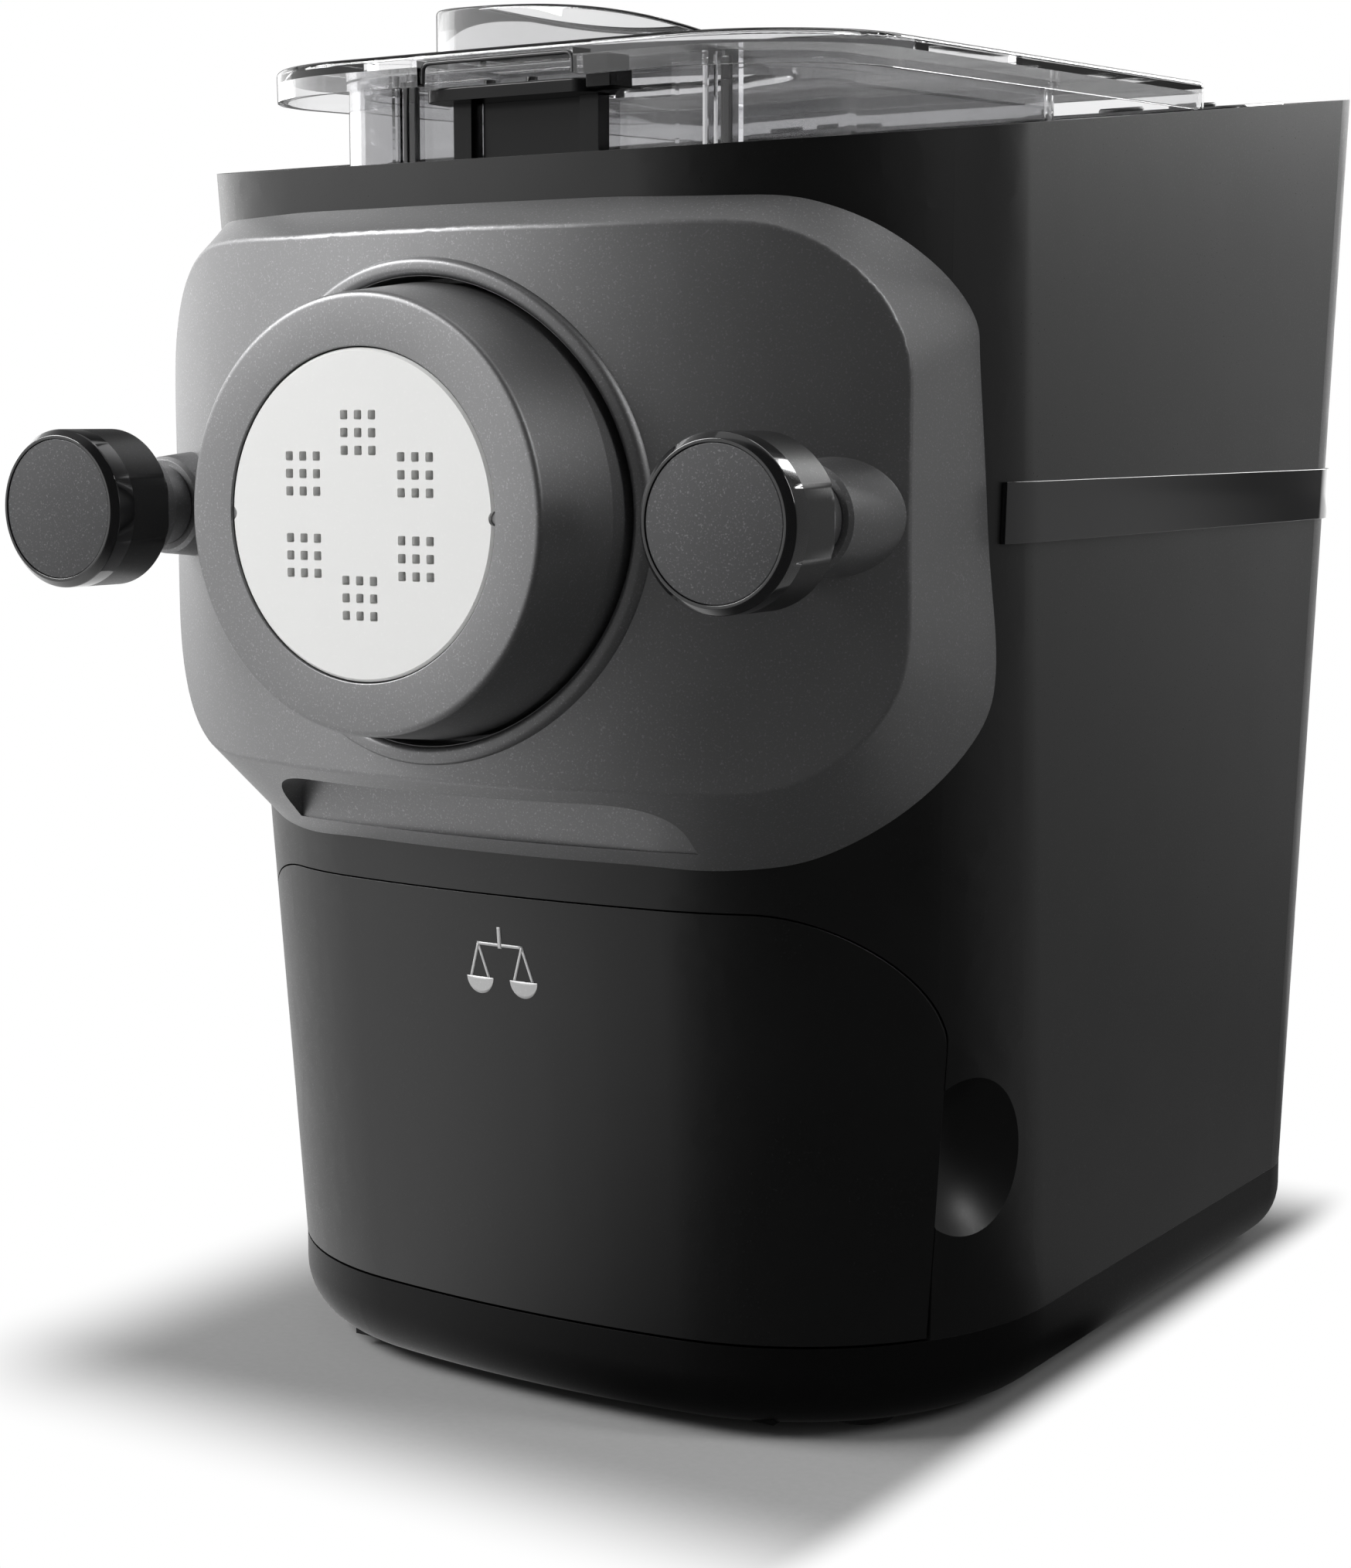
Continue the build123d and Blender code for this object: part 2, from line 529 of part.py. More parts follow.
def knob_stem(x):
    """Steel stem: a root in the head, a journal through the boss and a threaded tip."""
    neck_y = BOSS_FRONT_Y - GAP
    thread_y = STEM_END_Y + STEM_R - STUD_R
    root_r = STUD_R - THREAD_DEPTH
    profile = [(0, -10), (STEM_ROOT_R, -10), (STEM_ROOT_R, neck_y), (STEM_R, neck_y), (STEM_R, STEM_END_Y)]
    turns = int((STUD_L - STEM_R + STUD_R - 1) / THREAD_PITCH)
    for k in range(turns):
        y = thread_y + THREAD_PITCH * k
        profile += [(STUD_R, y), (root_r, y + THREAD_PITCH / 2)]
    tip_y = STEM_END_Y + STUD_L
    return turned(x, AXIS_Z, profile + [(root_r, tip_y), (0, tip_y)])


# ---------------------------------------------------------------- housing
def drawer_opening(grow=0.0):
    """Front outline of the drawer, drawn through the front."""
    top = DRAWER_TOP_Z + grow
    return plate_xz(DRAWER_HALF_W + grow, SEAM_Z - 20, top, DRAWER_CORNER + grow, 0, -FAR, SPLIT_Y + 28)


def housing_wall():
    """Thin-walled body under the sloping top edge."""
    return below_top(housing_form() - housing_form(WALL))


def housing_front():
    """Front shell: strip over and under the panel, panel backing, knob columns."""
    shape = split(housing_wall(), bisect_by=SPLIT_PLANE, keep=Keep.BOTTOM)
    shape -= drawer_opening(DRAWER_SLIT)
    shape -= along_y(0, AXIS_Z, FLANGE_R + 2, -FAR, FAR)
    end_y = BUSH_Y + BUSH_L
    for x in sides(KNOB_X):
        shape += along_y(x, AXIS_Z, COLUMN_R, 0, BUSH_Y + 6) & housing_form(BREAK)
        shape += along_y(x, AXIS_Z, COLUMN_R, BUSH_Y, end_y) & housing_form(WALL + GAP)
        shape -= along_y(x, AXIS_Z, STEM_R + BREAK, -FAR, BUSH_Y)
        shape -= along_y(x, AXIS_Z, BUSH_R, BUSH_Y, FAR)
    return shape


def stud_bushes():
    """Brass threaded bushes in the knob columns."""
    shape = Part()
    for x in sides(KNOB_X):
        shape += ring(x, AXIS_Z, STUD_R + RUN, BUSH_R, BUSH_Y, BUSH_Y + BUSH_L)
    return shape


def side_shell(side):
    """Side wall with the finger scoop behind the drawer's edge."""
    wall = split(housing_wall(), bisect_by=SPLIT_PLANE, keep=Keep.TOP)
    wall = split(wall, bisect_by=COVER_PLANE, keep=Keep.BOTTOM)
    wall -= drawer_opening(DRAWER_SLIT) & slab(-FAR, SCOOP_Y)
    wall &= block(min(0, side * FAR), max(0, side * FAR), -FAR, FAR, 0, FAR)
    centre = Pos(side * SCOOP_X, SCOOP_Y, SCOOP_Z)
    bowl = centre * Sphere(SCOOP_R + SCOOP_WALL) & housing_form(DRAWER_SLIT) & slab(SCOOP_Y, FAR)
    return wall + bowl - centre * Sphere(SCOOP_R)


def gloss_band():
    """Gloss strip round both sides and the rear, proud of the wall."""
    z0, z1 = BAND_Z - BAND_H / 2, BAND_Z + BAND_H / 2
    strip = housing_form(-BAND_PROUD, z0, z1) - housing_form(-BAND_LAP, z0 - 1, z1 + 1)
    return strip - slab(-FAR, SPLIT_Y + BAND_START)


def rear_cover():
    """Rear cover with cooling slots, gland and switch openings."""
    shape = split(housing_wall(), bisect_by=COVER_PLANE, keep=Keep.TOP)
    slot_r = SLOT_HALF_W - 0.1
    slot = plate_xz(SLOT_HALF_W, SLOT_Z0, SLOT_Z1, slot_r, slot_r, COVER_Y - 20, FAR)
    for k in range(SLOT_COUNT):
        shape -= Pos((k - (SLOT_COUNT - 1) / 2) * SLOT_PITCH, 0, 0) * slot
    shape -= along_y(GLAND_X, GLAND_Z, GLAND_R, COVER_Y - 20, FAR)
    return shape - switch_block(0, COVER_Y - 20, FAR)


def foot_places():
    """X, Y of the four feet."""
    return [(x, y) for x in sides(FOOT_X) for y in (FOOT_Y0, FOOT_Y1)]


def screw_places():
    """X, Y of the tray screws."""
    return [(x, y) for x in sides(TRAY_SCREW_X) for y in TRAY_SCREW_Y]


def base_tray():
    """Base tray with a large rounded lower edge, cell seats and uprights for the frame."""
    floor_z = BASE_Z + BASE_FLOOR
    form = extrude(housing_plan(SEAM_Z), BASE_Z - SEAM_Z)
    form = fillet(form.faces().sort_by(Axis.Z)[0].edges(), BASE_EDGE)
    room = extrude(housing_plan(SEAM_Z, WALL), floor_z - SEAM_Z)
    room = fillet(room.faces().sort_by(Axis.Z)[0].edges(), BASE_EDGE - WALL + 0.1)
    shape = form - room
    for x in sides(60):
        shape += block(x - 14, x + 14, BULKHEAD_Y0, BULKHEAD_Y1 + 4, floor_z - 2, SEAM_Z)
        shape += block(x - 3, x + 3, 40, BULKHEAD_Y0 - 12, floor_z - 2, SEAM_Z) - cell_room()
    for x, y in foot_places():
        shape -= Pos(x, y, BASE_Z) * Cylinder(FOOT_PLUG_R, 4 * FOOT_PLUG_H)
    for x, y in screw_places():
        shape += Pos(x, y, BASE_Z + 1 + TRAY_BOSS_H / 2) * Cylinder(TRAY_BOSS_R, TRAY_BOSS_H)
        shape -= Pos(x, y, BASE_Z) * Cylinder(TRAY_HEAD_R + GAP, 2 * (TRAY_HEAD_H + 0.5))
        shape -= Pos(x, y, BASE_Z + TRAY_BOSS_H) * Cylinder(TRAY_SCREW_R, 2 * TRAY_BOSS_H)
    return shape


def feet():
    """Four rubber feet, each with a plug through the tray floor."""
    shape = Part()
    for x, y in foot_places():
        pad = Pos(x, y, BASE_Z / 2) * Cylinder(FOOT_R, BASE_Z)
        shape += chamfer(pad.faces().sort_by(Axis.Z)[0].edges(), BREAK)
        shape += Pos(x, y, BASE_Z + FOOT_PLUG_H / 2) * Cylinder(FOOT_PLUG_R, FOOT_PLUG_H)
    return shape


def cell_blocks(grow=0.0):
    """Outer blocks of the weighing cells, each over its foot."""
    z0 = BASE_Z + FOOT_PLUG_H
    shape = Part()
    for x, y in foot_places():
        reach = CELL_W / 2 + grow
        shape += block(x - reach, x + reach, y - 6 - grow, y - 6 + CELL_L + grow, z0, z0 + CELL_H + grow)
    return shape


def cell_room():
    """Room round the weighing cells, where the tray's ribs stop short."""
    return cell_blocks(GAP)


def load_cells():
    """Four weighing cells over the feet."""
    shape = cell_blocks()
    for x, y in foot_places():
        bore = Rot(0, 90, 0) * Cylinder(CELL_BORE_R, 2 * CELL_W)
        shape -= Pos(x, y - 6 + 0.56 * CELL_L, BASE_Z + FOOT_PLUG_H + CELL_H / 2) * bore
    return shape


def drawer_deck():
    """Floor over the tray with the two drawer rails."""
    top = SEAM_Z + DECK_FLOOR_T
    shape = extrude(housing_plan(SEAM_Z, WALL + 2 * GAP), DECK_FLOOR_T) & slab(CRADLE_Y0, BULKHEAD_Y0 + 8)
    for x in sides(RAIL_X):
        reach = RAIL_W / 2
        shape += block(x - reach, x + reach, CRADLE_Y0 + 2, BOX_Y1 + 2, top, BOX_Z0 - RAIL_GAP)
    return shape


def chassis():
    """Inner frame: cradle deck over the drawer and the bulkhead that carries the drive."""
    deck = housing_form(WALL, CRADLE_Z, CRADLE_Z + CRADLE_T) & slab(CRADLE_Y0, BULKHEAD_Y1)
    foot = SEAM_Z + DECK_FLOOR_T
    shape = deck + (housing_form(WALL, foot, BULKHEAD_TOP_Z) & slab(BULKHEAD_Y0, BULKHEAD_Y1))
    shape -= along_y(0, AXIS_Z, COUPLING_R + 1.5, BULKHEAD_Y0 - 10, BULKHEAD_Y1 + 10)
    for x in sides(WINDOW_X):
        reach = WINDOW_HALF_W
        shape -= block(x - reach, x + reach, BULKHEAD_Y0 - 10, BULKHEAD_Y1 + 10, WINDOW_Z0, WINDOW_Z1)
    saddle_top = CRADLE_Z + CRADLE_T + SADDLE_H
    for y in SADDLE_Y:
        saddle = block(-SADDLE_HALF_W, SADDLE_HALF_W, y, y + SADDLE_T, CRADLE_Z, saddle_top)
        shape += saddle - along_y(0, AXIS_Z, TROUGH_R + SADDLE_PLAY, y - 5, y + SADDLE_T + 5)
    return shape


def top_deck():
    """Sunk deck inside the rim with the chamber well."""
    plate = below_top(housing_form(WALL), DECK_DROP)
    plate = split(plate, bisect_by=TOP_PLANE.offset(-DECK_DROP - DECK_T), keep=Keep.TOP)
    well_w = CHAMBER_HALF_W + WELL_GAP
    shape = plate - pillar_xy(well_w, CHAMBER_Y0 - 6, CHAMBER_Y1 + 2, CHANNEL_HALF_W, 8, TOP_Z - 46, FAR)
    shape -= block(-CHANNEL_HALF_W, CHANNEL_HALF_W, TUBE_FRONT_Y - 1.5, CHAMBER_Y0 + 27, TOP_Z - 46, FAR)
    for x in CONTROL_X:
        shape -= on_deck(Pos(x, 0, -DECK_DROP) * Cylinder(BUTTON_R + BUTTON_PLAY, 4 * DECK_T))
    return shape


def on_deck(shape):
    """Place a shape built flat at the origin on the sloping rear deck."""
    return Pos(0, DECK_Y, deck_z(DECK_Y)) * Rot(degrees(atan(TOP_SLOPE)), 0, 0) * shape


def control_bezel():
    """Framed plate that holds the display and the four buttons."""
    plate = Pos(0, 0, -BEZEL_SINK) * extrude(RectangleRounded(BEZEL_W, BEZEL_D, BEZEL_CORNER), BEZEL_T)
    plate = chamfer(plate.faces().sort_by(Axis.Z)[-1].edges(), BREAK)
    window = RectangleRounded(DISPLAY_W, DISPLAY_D, DISPLAY_CORNER)
    plate -= Pos(0, 0, BEZEL_T - BEZEL_SINK - DISPLAY_T) * extrude(window, DISPLAY_T + 1)
    for x in CONTROL_X:
        plate -= Pos(x, 0, 0) * Cylinder(BUTTON_R + RUN, 4 * BEZEL_T)
    return on_deck(plate)


def display_glass():
    """Gloss display window, flush in the bezel."""
    face = RectangleRounded(DISPLAY_W - 0.4, DISPLAY_D - 0.4, DISPLAY_CORNER - 0.2)
    return on_deck(Pos(0, 0, BEZEL_T - BEZEL_SINK - DISPLAY_T) * extrude(face, DISPLAY_T))


def button(x):
    """Push button with a dished top and a plunger to the switch board."""
    cap = Pos(x, 0, BUTTON_H / 2 - BUTTON_LOW) * Cylinder(BUTTON_R, BUTTON_H)
    cap = chamfer(cap.faces().sort_by(Axis.Z)[-1].edges(), BREAK)
    cap -= Pos(x, 0, BUTTON_DISH_R + BUTTON_H - BUTTON_LOW - 0.4) * Sphere(BUTTON_DISH_R)
    plunger_h = PLUNGER_Z0 - BUTTON_LOW + 0.2
    return on_deck(cap + Pos(x, 0, plunger_h / 2 - PLUNGER_Z0) * Cylinder(PLUNGER_R, plunger_h))


def control_board():
    """Board under the deck, on eight posts."""
    post_h = BOARD_DROP - DECK_DROP - DECK_T
    plate = Pos(0, 0, -BOARD_DROP - BOARD_T / 2) * Box(BOARD_W, BOARD_D, BOARD_T)
    for x in BOARD_POSTS_X:
        for y in sides(BOARD_POST_Y):
            plate += Pos(x, y, post_h / 2 - BOARD_DROP) * Cylinder(BOARD_POST_R, post_h)
    for x in CONTROL_X:
        plate += Pos(x, 0, SWITCH_PAD_H / 2 - BOARD_DROP) * Box(SWITCH_PAD, SWITCH_PAD, SWITCH_PAD_H)
    return on_deck(plate)


# ---------------------------------------------------------------- drawer
def drawer_front():
    """Curved drawer front with a pad that meets the box."""
    foot = SEAM_Z + 2 * GAP
    plate = housing_form(0) - housing_form(DRAWER_PLATE, SEAM_Z - 4)
    plate &= drawer_opening() & slab(-FAR, SCOOP_Y - GAP, foot, FAR)
    pad = block(-PAD_HALF_W, PAD_HALF_W, 0, BOX_Y0, BOX_Z0 + PAD_MARGIN, BOX_Z1 - PAD_MARGIN)
    return plate + (pad & housing_form(1))


def drawer_box():
    """Open storage box with rounded front corners and two dividers."""
    w, front_r, rear_r = BOX_WALL, BOX_CORNER_F, BOX_CORNER_R
    shape = pillar_xy(BOX_HALF_W, BOX_Y0, BOX_Y1, front_r, rear_r, BOX_Z0, BOX_Z1)
    shape -= pillar_xy(BOX_HALF_W - w, BOX_Y0 + w, BOX_Y1 - w, front_r - w, rear_r - w, BOX_Z0 + w, FAR)
    reach = BOX_HALF_W - w / 2
    for y in DIVIDER_Y:
        shape += block(-reach, reach, y, y + DIVIDER_T, BOX_Z0 + w / 2, BOX_Z0 + DIVIDER_H)
    return shape


# ---------------------------------------------------------------- mixing chamber, screw and paddle
def chamber_form(inset=0.0, top=LID_Z + 8):
    """Trough with a round bottom opening out to straight walls."""
    r = TROUGH_R - inset
    w = CHAMBER_HALF_W - inset
    shoulder = AXIS_Z + CHAMBER_SHOULDER
    arc = ThreePointArc((-r, AXIS_Z), (0, AXIS_Z - r), (r, AXIS_Z))
    rest = Polyline((r, AXIS_Z), (w, shoulder), (w, top), (-w, top), (-w, shoulder), (-r, AXIS_Z))
    y0, y1 = CHAMBER_Y0 + inset, CHAMBER_Y1 - inset
    trough = Pos(0, y1, 0) * extrude(Rot(90, 0, 0) * make_face([arc] + rest.edges()), y1 - y0)
    low = AXIS_Z - 2 * TROUGH_R
    return trough & pillar_xy(w, y0, y1, CHAMBER_CORNER_F - inset, CHAMBER_CORNER_R - inset / 2, low, top)


def lid_plane(drop=0.0):
    """Plane of the lid's top, lowered by drop."""
    return Plane(origin=(0, 0, LID_Z - drop), z_dir=(0, -LID_SLOPE, 1))


def mixing_chamber():
    """Transparent trough with ribs, a rim and bores for tube and shaft."""
    shape = chamber_form() - chamber_form(CHAMBER_WALL, LID_Z + 18)
    for middle in RIB_X:
        for side in sides(RIB_SPREAD):
            x = middle + side
            rib = block(x - RIB_T / 2, x + RIB_T / 2, CHAMBER_Y0 - 2, CHAMBER_Y0 + 12, RIB_Z0, FAR)
            shape += rib - chamber_form(1.0, FAR + 1)
    shape = split(shape, bisect_by=lid_plane(LID_PLATE + GAP), keep=Keep.BOTTOM)
    shape -= along_y(0, AXIS_Z, TUBE_R, CHAMBER_Y0 - 13, CHAMBER_Y0 + 27)
    return shape - along_y(0, AXIS_Z, SEAL_R, CHAMBER_Y1 - 17, CHAMBER_Y1 + 13)


def shaft_seal():
    """Rubber lip seal in the chamber's rear wall."""
    inner = CHAMBER_Y1 - CHAMBER_WALL
    bore = SHAFT_R + RUN
    profile = [
        (bore, inner - SEAL_T), (SEAL_LIP_R, inner - SEAL_T), (SEAL_LIP_R, inner),
        (SEAL_R, inner), (SEAL_R, CHAMBER_Y1 + BREAK), (bore, CHAMBER_Y1 + BREAK),
    ]
    return turned(0, AXIS_Z, profile)


def extrusion_tube():
    """Tube in front of the chamber that the screw presses through."""
    flange_y = CHAMBER_Y0 - TUBE_FLANGE_T
    profile = [
        (TUBE_R, TUBE_FRONT_Y), (TUBE_OUT_R, TUBE_FRONT_Y), (TUBE_OUT_R, flange_y),
        (TUBE_FLANGE_R, flange_y), (TUBE_FLANGE_R, CHAMBER_Y0), (TUBE_R, CHAMBER_Y0),
    ]
    shape = turned(0, AXIS_Z, profile)
    for angle in range(0, 360, 90):
        lug = Pos((TUBE_OUT_R + TUBE_FLANGE_R) / 2, flange_y - LUG_L / 2 + 1, 0) * Box(5, LUG_L, 5)
        shape += Pos(0, 0, AXIS_Z) * Rot(0, angle, 0) * lug
    return shape


def chamber_handle():
    """Black bracket on the chamber's front: lip, two arms, backing plate and posts."""
    y = CHAMBER_Y0
    lip_top = LIP_Z + LIP_T
    shape = block(-LIP_HALF_W, LIP_HALF_W, y - LIP_DEPTH, y, LIP_Z, lip_top)
    shape = fillet(shape.edges().filter_by(Axis.Z).sort_by(Axis.Y)[:2], 5)
    shape = fillet(shape.faces().sort_by(Axis.Z)[-1].edges().sort_by(Axis.Y)[:1], BREAK)
    for x in ARM_X:
        shape += block(x - ARM_W / 2, x + ARM_W / 2, y - ARM_D, y, BRACKET_Z0, LIP_Z + 0.4)
    left, right = ARM_X[0] + ARM_D - 0.4, ARM_X[1] - ARM_D + 0.4
    shape += block(left, right, y - BRACKET_PLATE, y, BRACKET_Z0, LIP_Z + 0.4)
    for x in POST_X:
        shape += Pos(x, y - LIP_DEPTH / 2 + 0.5, lip_top + POST_H / 2 - 0.2) * Cylinder(POST_R, POST_H + 0.4)
    return shape


def extruder_screw():
    """Shaft with a helical flight in the tube and a flat tang for the drive."""
    shaft_y = CHAMBER_Y1 - 5
    profile = [
        (0, TUBE_FRONT_Y + BREAK), (SCREW_CORE_R - 3, TUBE_FRONT_Y + BREAK), (SCREW_CORE_R, TUBE_FRONT_Y + 6),
        (SCREW_CORE_R, shaft_y), (SHAFT_R, shaft_y), (SHAFT_R, CHAMBER_Y1 + 1), (0, CHAMBER_Y1 + 1),
    ]
    shape = turned(0, AXIS_Z, profile)
    tang = along_y(0, AXIS_Z, SHAFT_R, CHAMBER_Y1 + 1, BULKHEAD_Y0 - GAP - 0.1)
    shape += tang & block(-TANG_HALF, TANG_HALF, CHAMBER_Y1, FAR, -FAR, FAR)
    for k in range(SCREW_TURNS * 12):
        y = TUBE_FRONT_Y + 5 + SCREW_PITCH * k / 12
        blade = Rot(0, -30 * k, 0) * Rot(18, 0, 0) * Pos(SCREW_R / 2, 0, 0) * Box(SCREW_R, BLADE_T, 8.5)
        shape += Pos(0, y, AXIS_Z) * (blade & Rot(90, 0, 0) * Cylinder(SCREW_R, SCREW_PITCH))
    return shape


def mixing_paddle():
    """Hub with six arms and two hoop bars."""
    rear = CHAMBER_Y1 - 9
    front = rear - PADDLE_HUB_L
    shape = ring(0, AXIS_Z, SCREW_CORE_R, PADDLE_HUB_R, front, rear)
    arm_l = PADDLE_R - PADDLE_HUB_R + 2
    bar_x = PADDLE_R - PADDLE_BAR / 2
    spread = PADDLE_HUB_L - 12
    arm = Pos(PADDLE_HUB_R - 2 + arm_l / 2 - 0.75, 0, 0) * Box(arm_l - 1.5, 7, PADDLE_BAR_T)
    for angle, share in ((0, 0), (180, 0), (90, 0.5), (270, 0.5), (0, 1), (180, 1)):
        shape += Pos(0, front + 6 + spread * share, AXIS_Z) * Rot(0, angle, 0) * arm
    for angle in (0, 180):
        bar = Pos(bar_x, (front + rear) / 2, 0) * Box(PADDLE_BAR, spread + 7, PADDLE_BAR_T)
        shape += Pos(0, 0, AXIS_Z) * Rot(0, angle, 0) * bar
    return shape


# ---------------------------------------------------------------- lid
def lid_piece(shape):
    """Tilt a shape drawn level at the lid's top into place."""
    return Pos(0, 0, LID_Z) * Rot(degrees(atan(LID_SLOPE)), 0, 0) * shape


def lid_pillar(inset, z0, z1):
    """Plan form of the lid, drawn level."""
    y0, y1 = LID_Y0 + inset, LID_Y0 + LID_L - inset
    return pillar_xy(LID_HALF_W - inset, y0, y1, LID_CORNER_F - inset, LID_CORNER_R - inset, z0, z1)


def ridge_pillar(inset, z0, z1):
    """Plan form inside the chamber's walls, drawn level."""
    reach = CHAMBER_WALL + RIDGE_GAP + inset
    y0, y1 = CHAMBER_Y0 + reach, CHAMBER_Y1 - reach
    half = CHAMBER_HALF_W - reach
    return pillar_xy(half, y0, y1, CHAMBER_CORNER_F - reach, CHAMBER_CORNER_R - reach / 2, z0, z1)


def lid():
    """Transparent lid: plate, deep rim, latch notch and locating ridge."""
    outer = lid_pillar(0, -LID_RIM, 0)
    outer = fillet(outer.faces().sort_by(Axis.Z)[-1].edges(), LID_EDGE)
    shape = outer - lid_pillar(LID_WALL, -LID_RIM - 1, -LID_PLATE)
    low = -LID_PLATE - RIDGE_H
    shape += ridge_pillar(0, low, 0.5 - LID_PLATE) - ridge_pillar(RIDGE_T, low - 1, 0)
    shape -= block(NOTCH_X0, NOTCH_X1, LID_Y0 - 2, LID_Y0 + 12, -LID_RIM - 2, -NOTCH_SKIN)
    shape -= funnel_form(FUNNEL_WALL, -LID_RIM - 2, 1)
    return lid_piece(shape)


def funnel_form(inset, z0, z1):
    """Oval column of the filling funnel, drawn level."""
    return Pos(FUNNEL_X, FUNNEL_Y, z0) * extrude(Ellipse(FUNNEL_LONG - inset, FUNNEL_WIDE - inset), z1 - z0)


def lid_funnel():
    """Oval filling funnel whose upper edge sweeps down to the right."""
    high, low = FUNNEL_HIGH, FUNNEL_LOW
    top = high + 10
    tube = funnel_form(0, 0, top) - funnel_form(FUNNEL_WALL, -1, top + 1)
    left, right = FUNNEL_X - FUNNEL_LONG - 2, FUNNEL_X + FUNNEL_LONG + 2
    third = FUNNEL_LONG / 2
    line = Spline(
        (left, high - 1), (left + third, high), (FUNNEL_X - 2, high - 3),
        (FUNNEL_X + third - 1, low + 5), (right, low),
    )
    over = Polyline((right, low), (right, top + 2), (left, top + 2), (left, high - 1))
    reach = 4 * FUNNEL_WIDE
    cut = Pos(0, FUNNEL_Y + reach / 2, 0) * extrude(Rot(90, 0, 0) * make_face([line] + over.edges()), reach)
    return lid_piece(tube - cut)


def lid_catch():
    """Black catch beside the notch."""
    x = NOTCH_X1 + 1.2
    y = LID_Y0 + LID_WALL + 0.4
    return lid_piece(block(x, x + CATCH_W, y, y + CATCH_L, -LID_PLATE - CATCH_H, -LID_PLATE))


# ---------------------------------------------------------------- drive
def gear(teeth, y0, y1, z, tooth_at, bore):
    """Spur gear along Y; a tooth points to the angle tooth_at in the X-Z plane."""
    pitch_r = GEAR_MODULE * teeth / 2
    tip, root = pitch_r + 0.85 * GEAR_MODULE, pitch_r - 1.15 * GEAR_MODULE
    flank = ((root, -0.34), (pitch_r, -0.22), (tip, -0.1), (tip, 0.1), (pitch_r, 0.22), (root, 0.34))
    points = []
    for k in range(teeth):
        for r, share in flank:
            angle = radians(tooth_at) + 2 * pi * (k + share) / teeth
            points.append((r * cos(angle), r * sin(angle)))
    face = make_face(Polyline(*points, close=True)) - Circle(bore)
    return Pos(0, y1, z) * Rot(90, 0, 0) * extrude(face, y1 - y0)


def drive_shaft():
    """Output shaft with a slotted coupling for the screw's tang."""
    front = CHAMBER_Y1 + 1.6
    neck = BULKHEAD_Y1 + 0.5
    profile = [
        (0, front), (COUPLING_R, front), (COUPLING_R, neck - 2.5), (SHAFT_R + 3, neck),
        (SHAFT_R, neck), (SHAFT_R, CASE_Y1 - 0.5), (0, CASE_Y1 - 0.5),
    ]
    slot = TANG_HALF + GAP
    return turned(0, AXIS_Z, profile) - block(-slot, slot, CHAMBER_Y0, BULKHEAD_Y0, -FAR, FAR)


def output_gear():
    """Large gear on the output shaft."""
    y0 = BULKHEAD_Y1 + 16
    return gear(OUT_TEETH, y0, y0 + GEAR_T, AXIS_Z, -90 + 180 / OUT_TEETH, SHAFT_R)


def idler_gears():
    """Idler axle with a wheel driven by the motor and a pinion that drives the output gear."""
    y = BULKHEAD_Y1
    shape = along_y(0, IDLER_Z, AXLE_R, y + BREAK, CASE_Y1 - 0.5)
    shape += gear(SMALL_TEETH, y + 16 - PINION_OVER, y + 16 + GEAR_T + PINION_OVER, IDLER_Z, 90, AXLE_R)
    return shape + gear(IDLER_TEETH, y + 5, y + 5 + GEAR_T, IDLER_Z, -90 + 180 / IDLER_TEETH, AXLE_R)


def motor_rotor():
    """Motor shaft with its pinion."""
    y = BULKHEAD_Y1
    shape = along_y(0, MOTOR_Z, AXLE_R, y + 3.5, MOTOR_Y1 + 12)
    return shape + gear(MOTOR_TEETH, y + 4.5, y + 5.5 + GEAR_T, MOTOR_Z, 90, AXLE_R)


def cooling_fan():
    """Bladed fan behind the motor."""
    y = MOTOR_Y1 + MOTOR_CAP + 2.5
    shape = ring(0, MOTOR_Z, AXLE_R, FAN_HUB_R, y, y + FAN_T)
    blade_l = FAN_R - FAN_HUB_R + 1
    blade = Pos(FAN_R - blade_l / 2, 0, 0) * Rot(35, 0, 0) * Box(blade_l, 1.4, FAN_T + 2)
    for k in range(FAN_BLADES):
        shape += Pos(0, y + FAN_T / 2, MOTOR_Z) * Rot(0, 360 * k / FAN_BLADES, 0) * blade
    return shape


def gearbox_case():
    """Closed case round the gear train, with a bearing seat at each end of the output shaft."""
    w = CASE_WALL
    y0, y1 = BULKHEAD_Y1, CASE_Y1
    corners = (CASE_CORNER_TOP, CASE_CORNER_LOW)
    shape = plate_xz(CASE_HALF_W, CASE_Z0, CASE_Z1, *corners, y0, y1)
    inner = (CASE_CORNER_TOP - w, CASE_CORNER_LOW - w)
    shape -= plate_xz(CASE_HALF_W - w, CASE_Z0 + w, CASE_Z1 - w, *inner, y0 + w, y1 - w)
    for start, end in ((y0 + 1, y0 + 1 + BEARING_T), (y1 - 0.5 - BEARING_T, y1 - 0.5)):
        shape += along_y(0, AXIS_Z, BEARING_R + 3, start, end) & slab(y0 + w, y1 - w)
    shape -= along_y(0, AXIS_Z, BEARING_R, y0 - 10, y0 + 1 + BEARING_T)
    shape -= along_y(0, AXIS_Z, BEARING_R, y1 - 0.9 - BEARING_T, y1 + 10)
    shape -= along_y(0, IDLER_Z, AXLE_R + RUN, y0 - 10, y1 + 10)
    return shape - along_y(0, MOTOR_Z, AXLE_R + RUN, y1 - 10, y1 + 10)


def bearings():
    """Two ball bearings of the output shaft, each drawn as one ring."""
    shape = Part()
    for y in (BULKHEAD_Y1 + 1, CASE_Y1 - 0.5 - BEARING_T):
        shape += ring(0, AXIS_Z, SHAFT_R + RUN, BEARING_R, y, y + BEARING_T)
    return shape


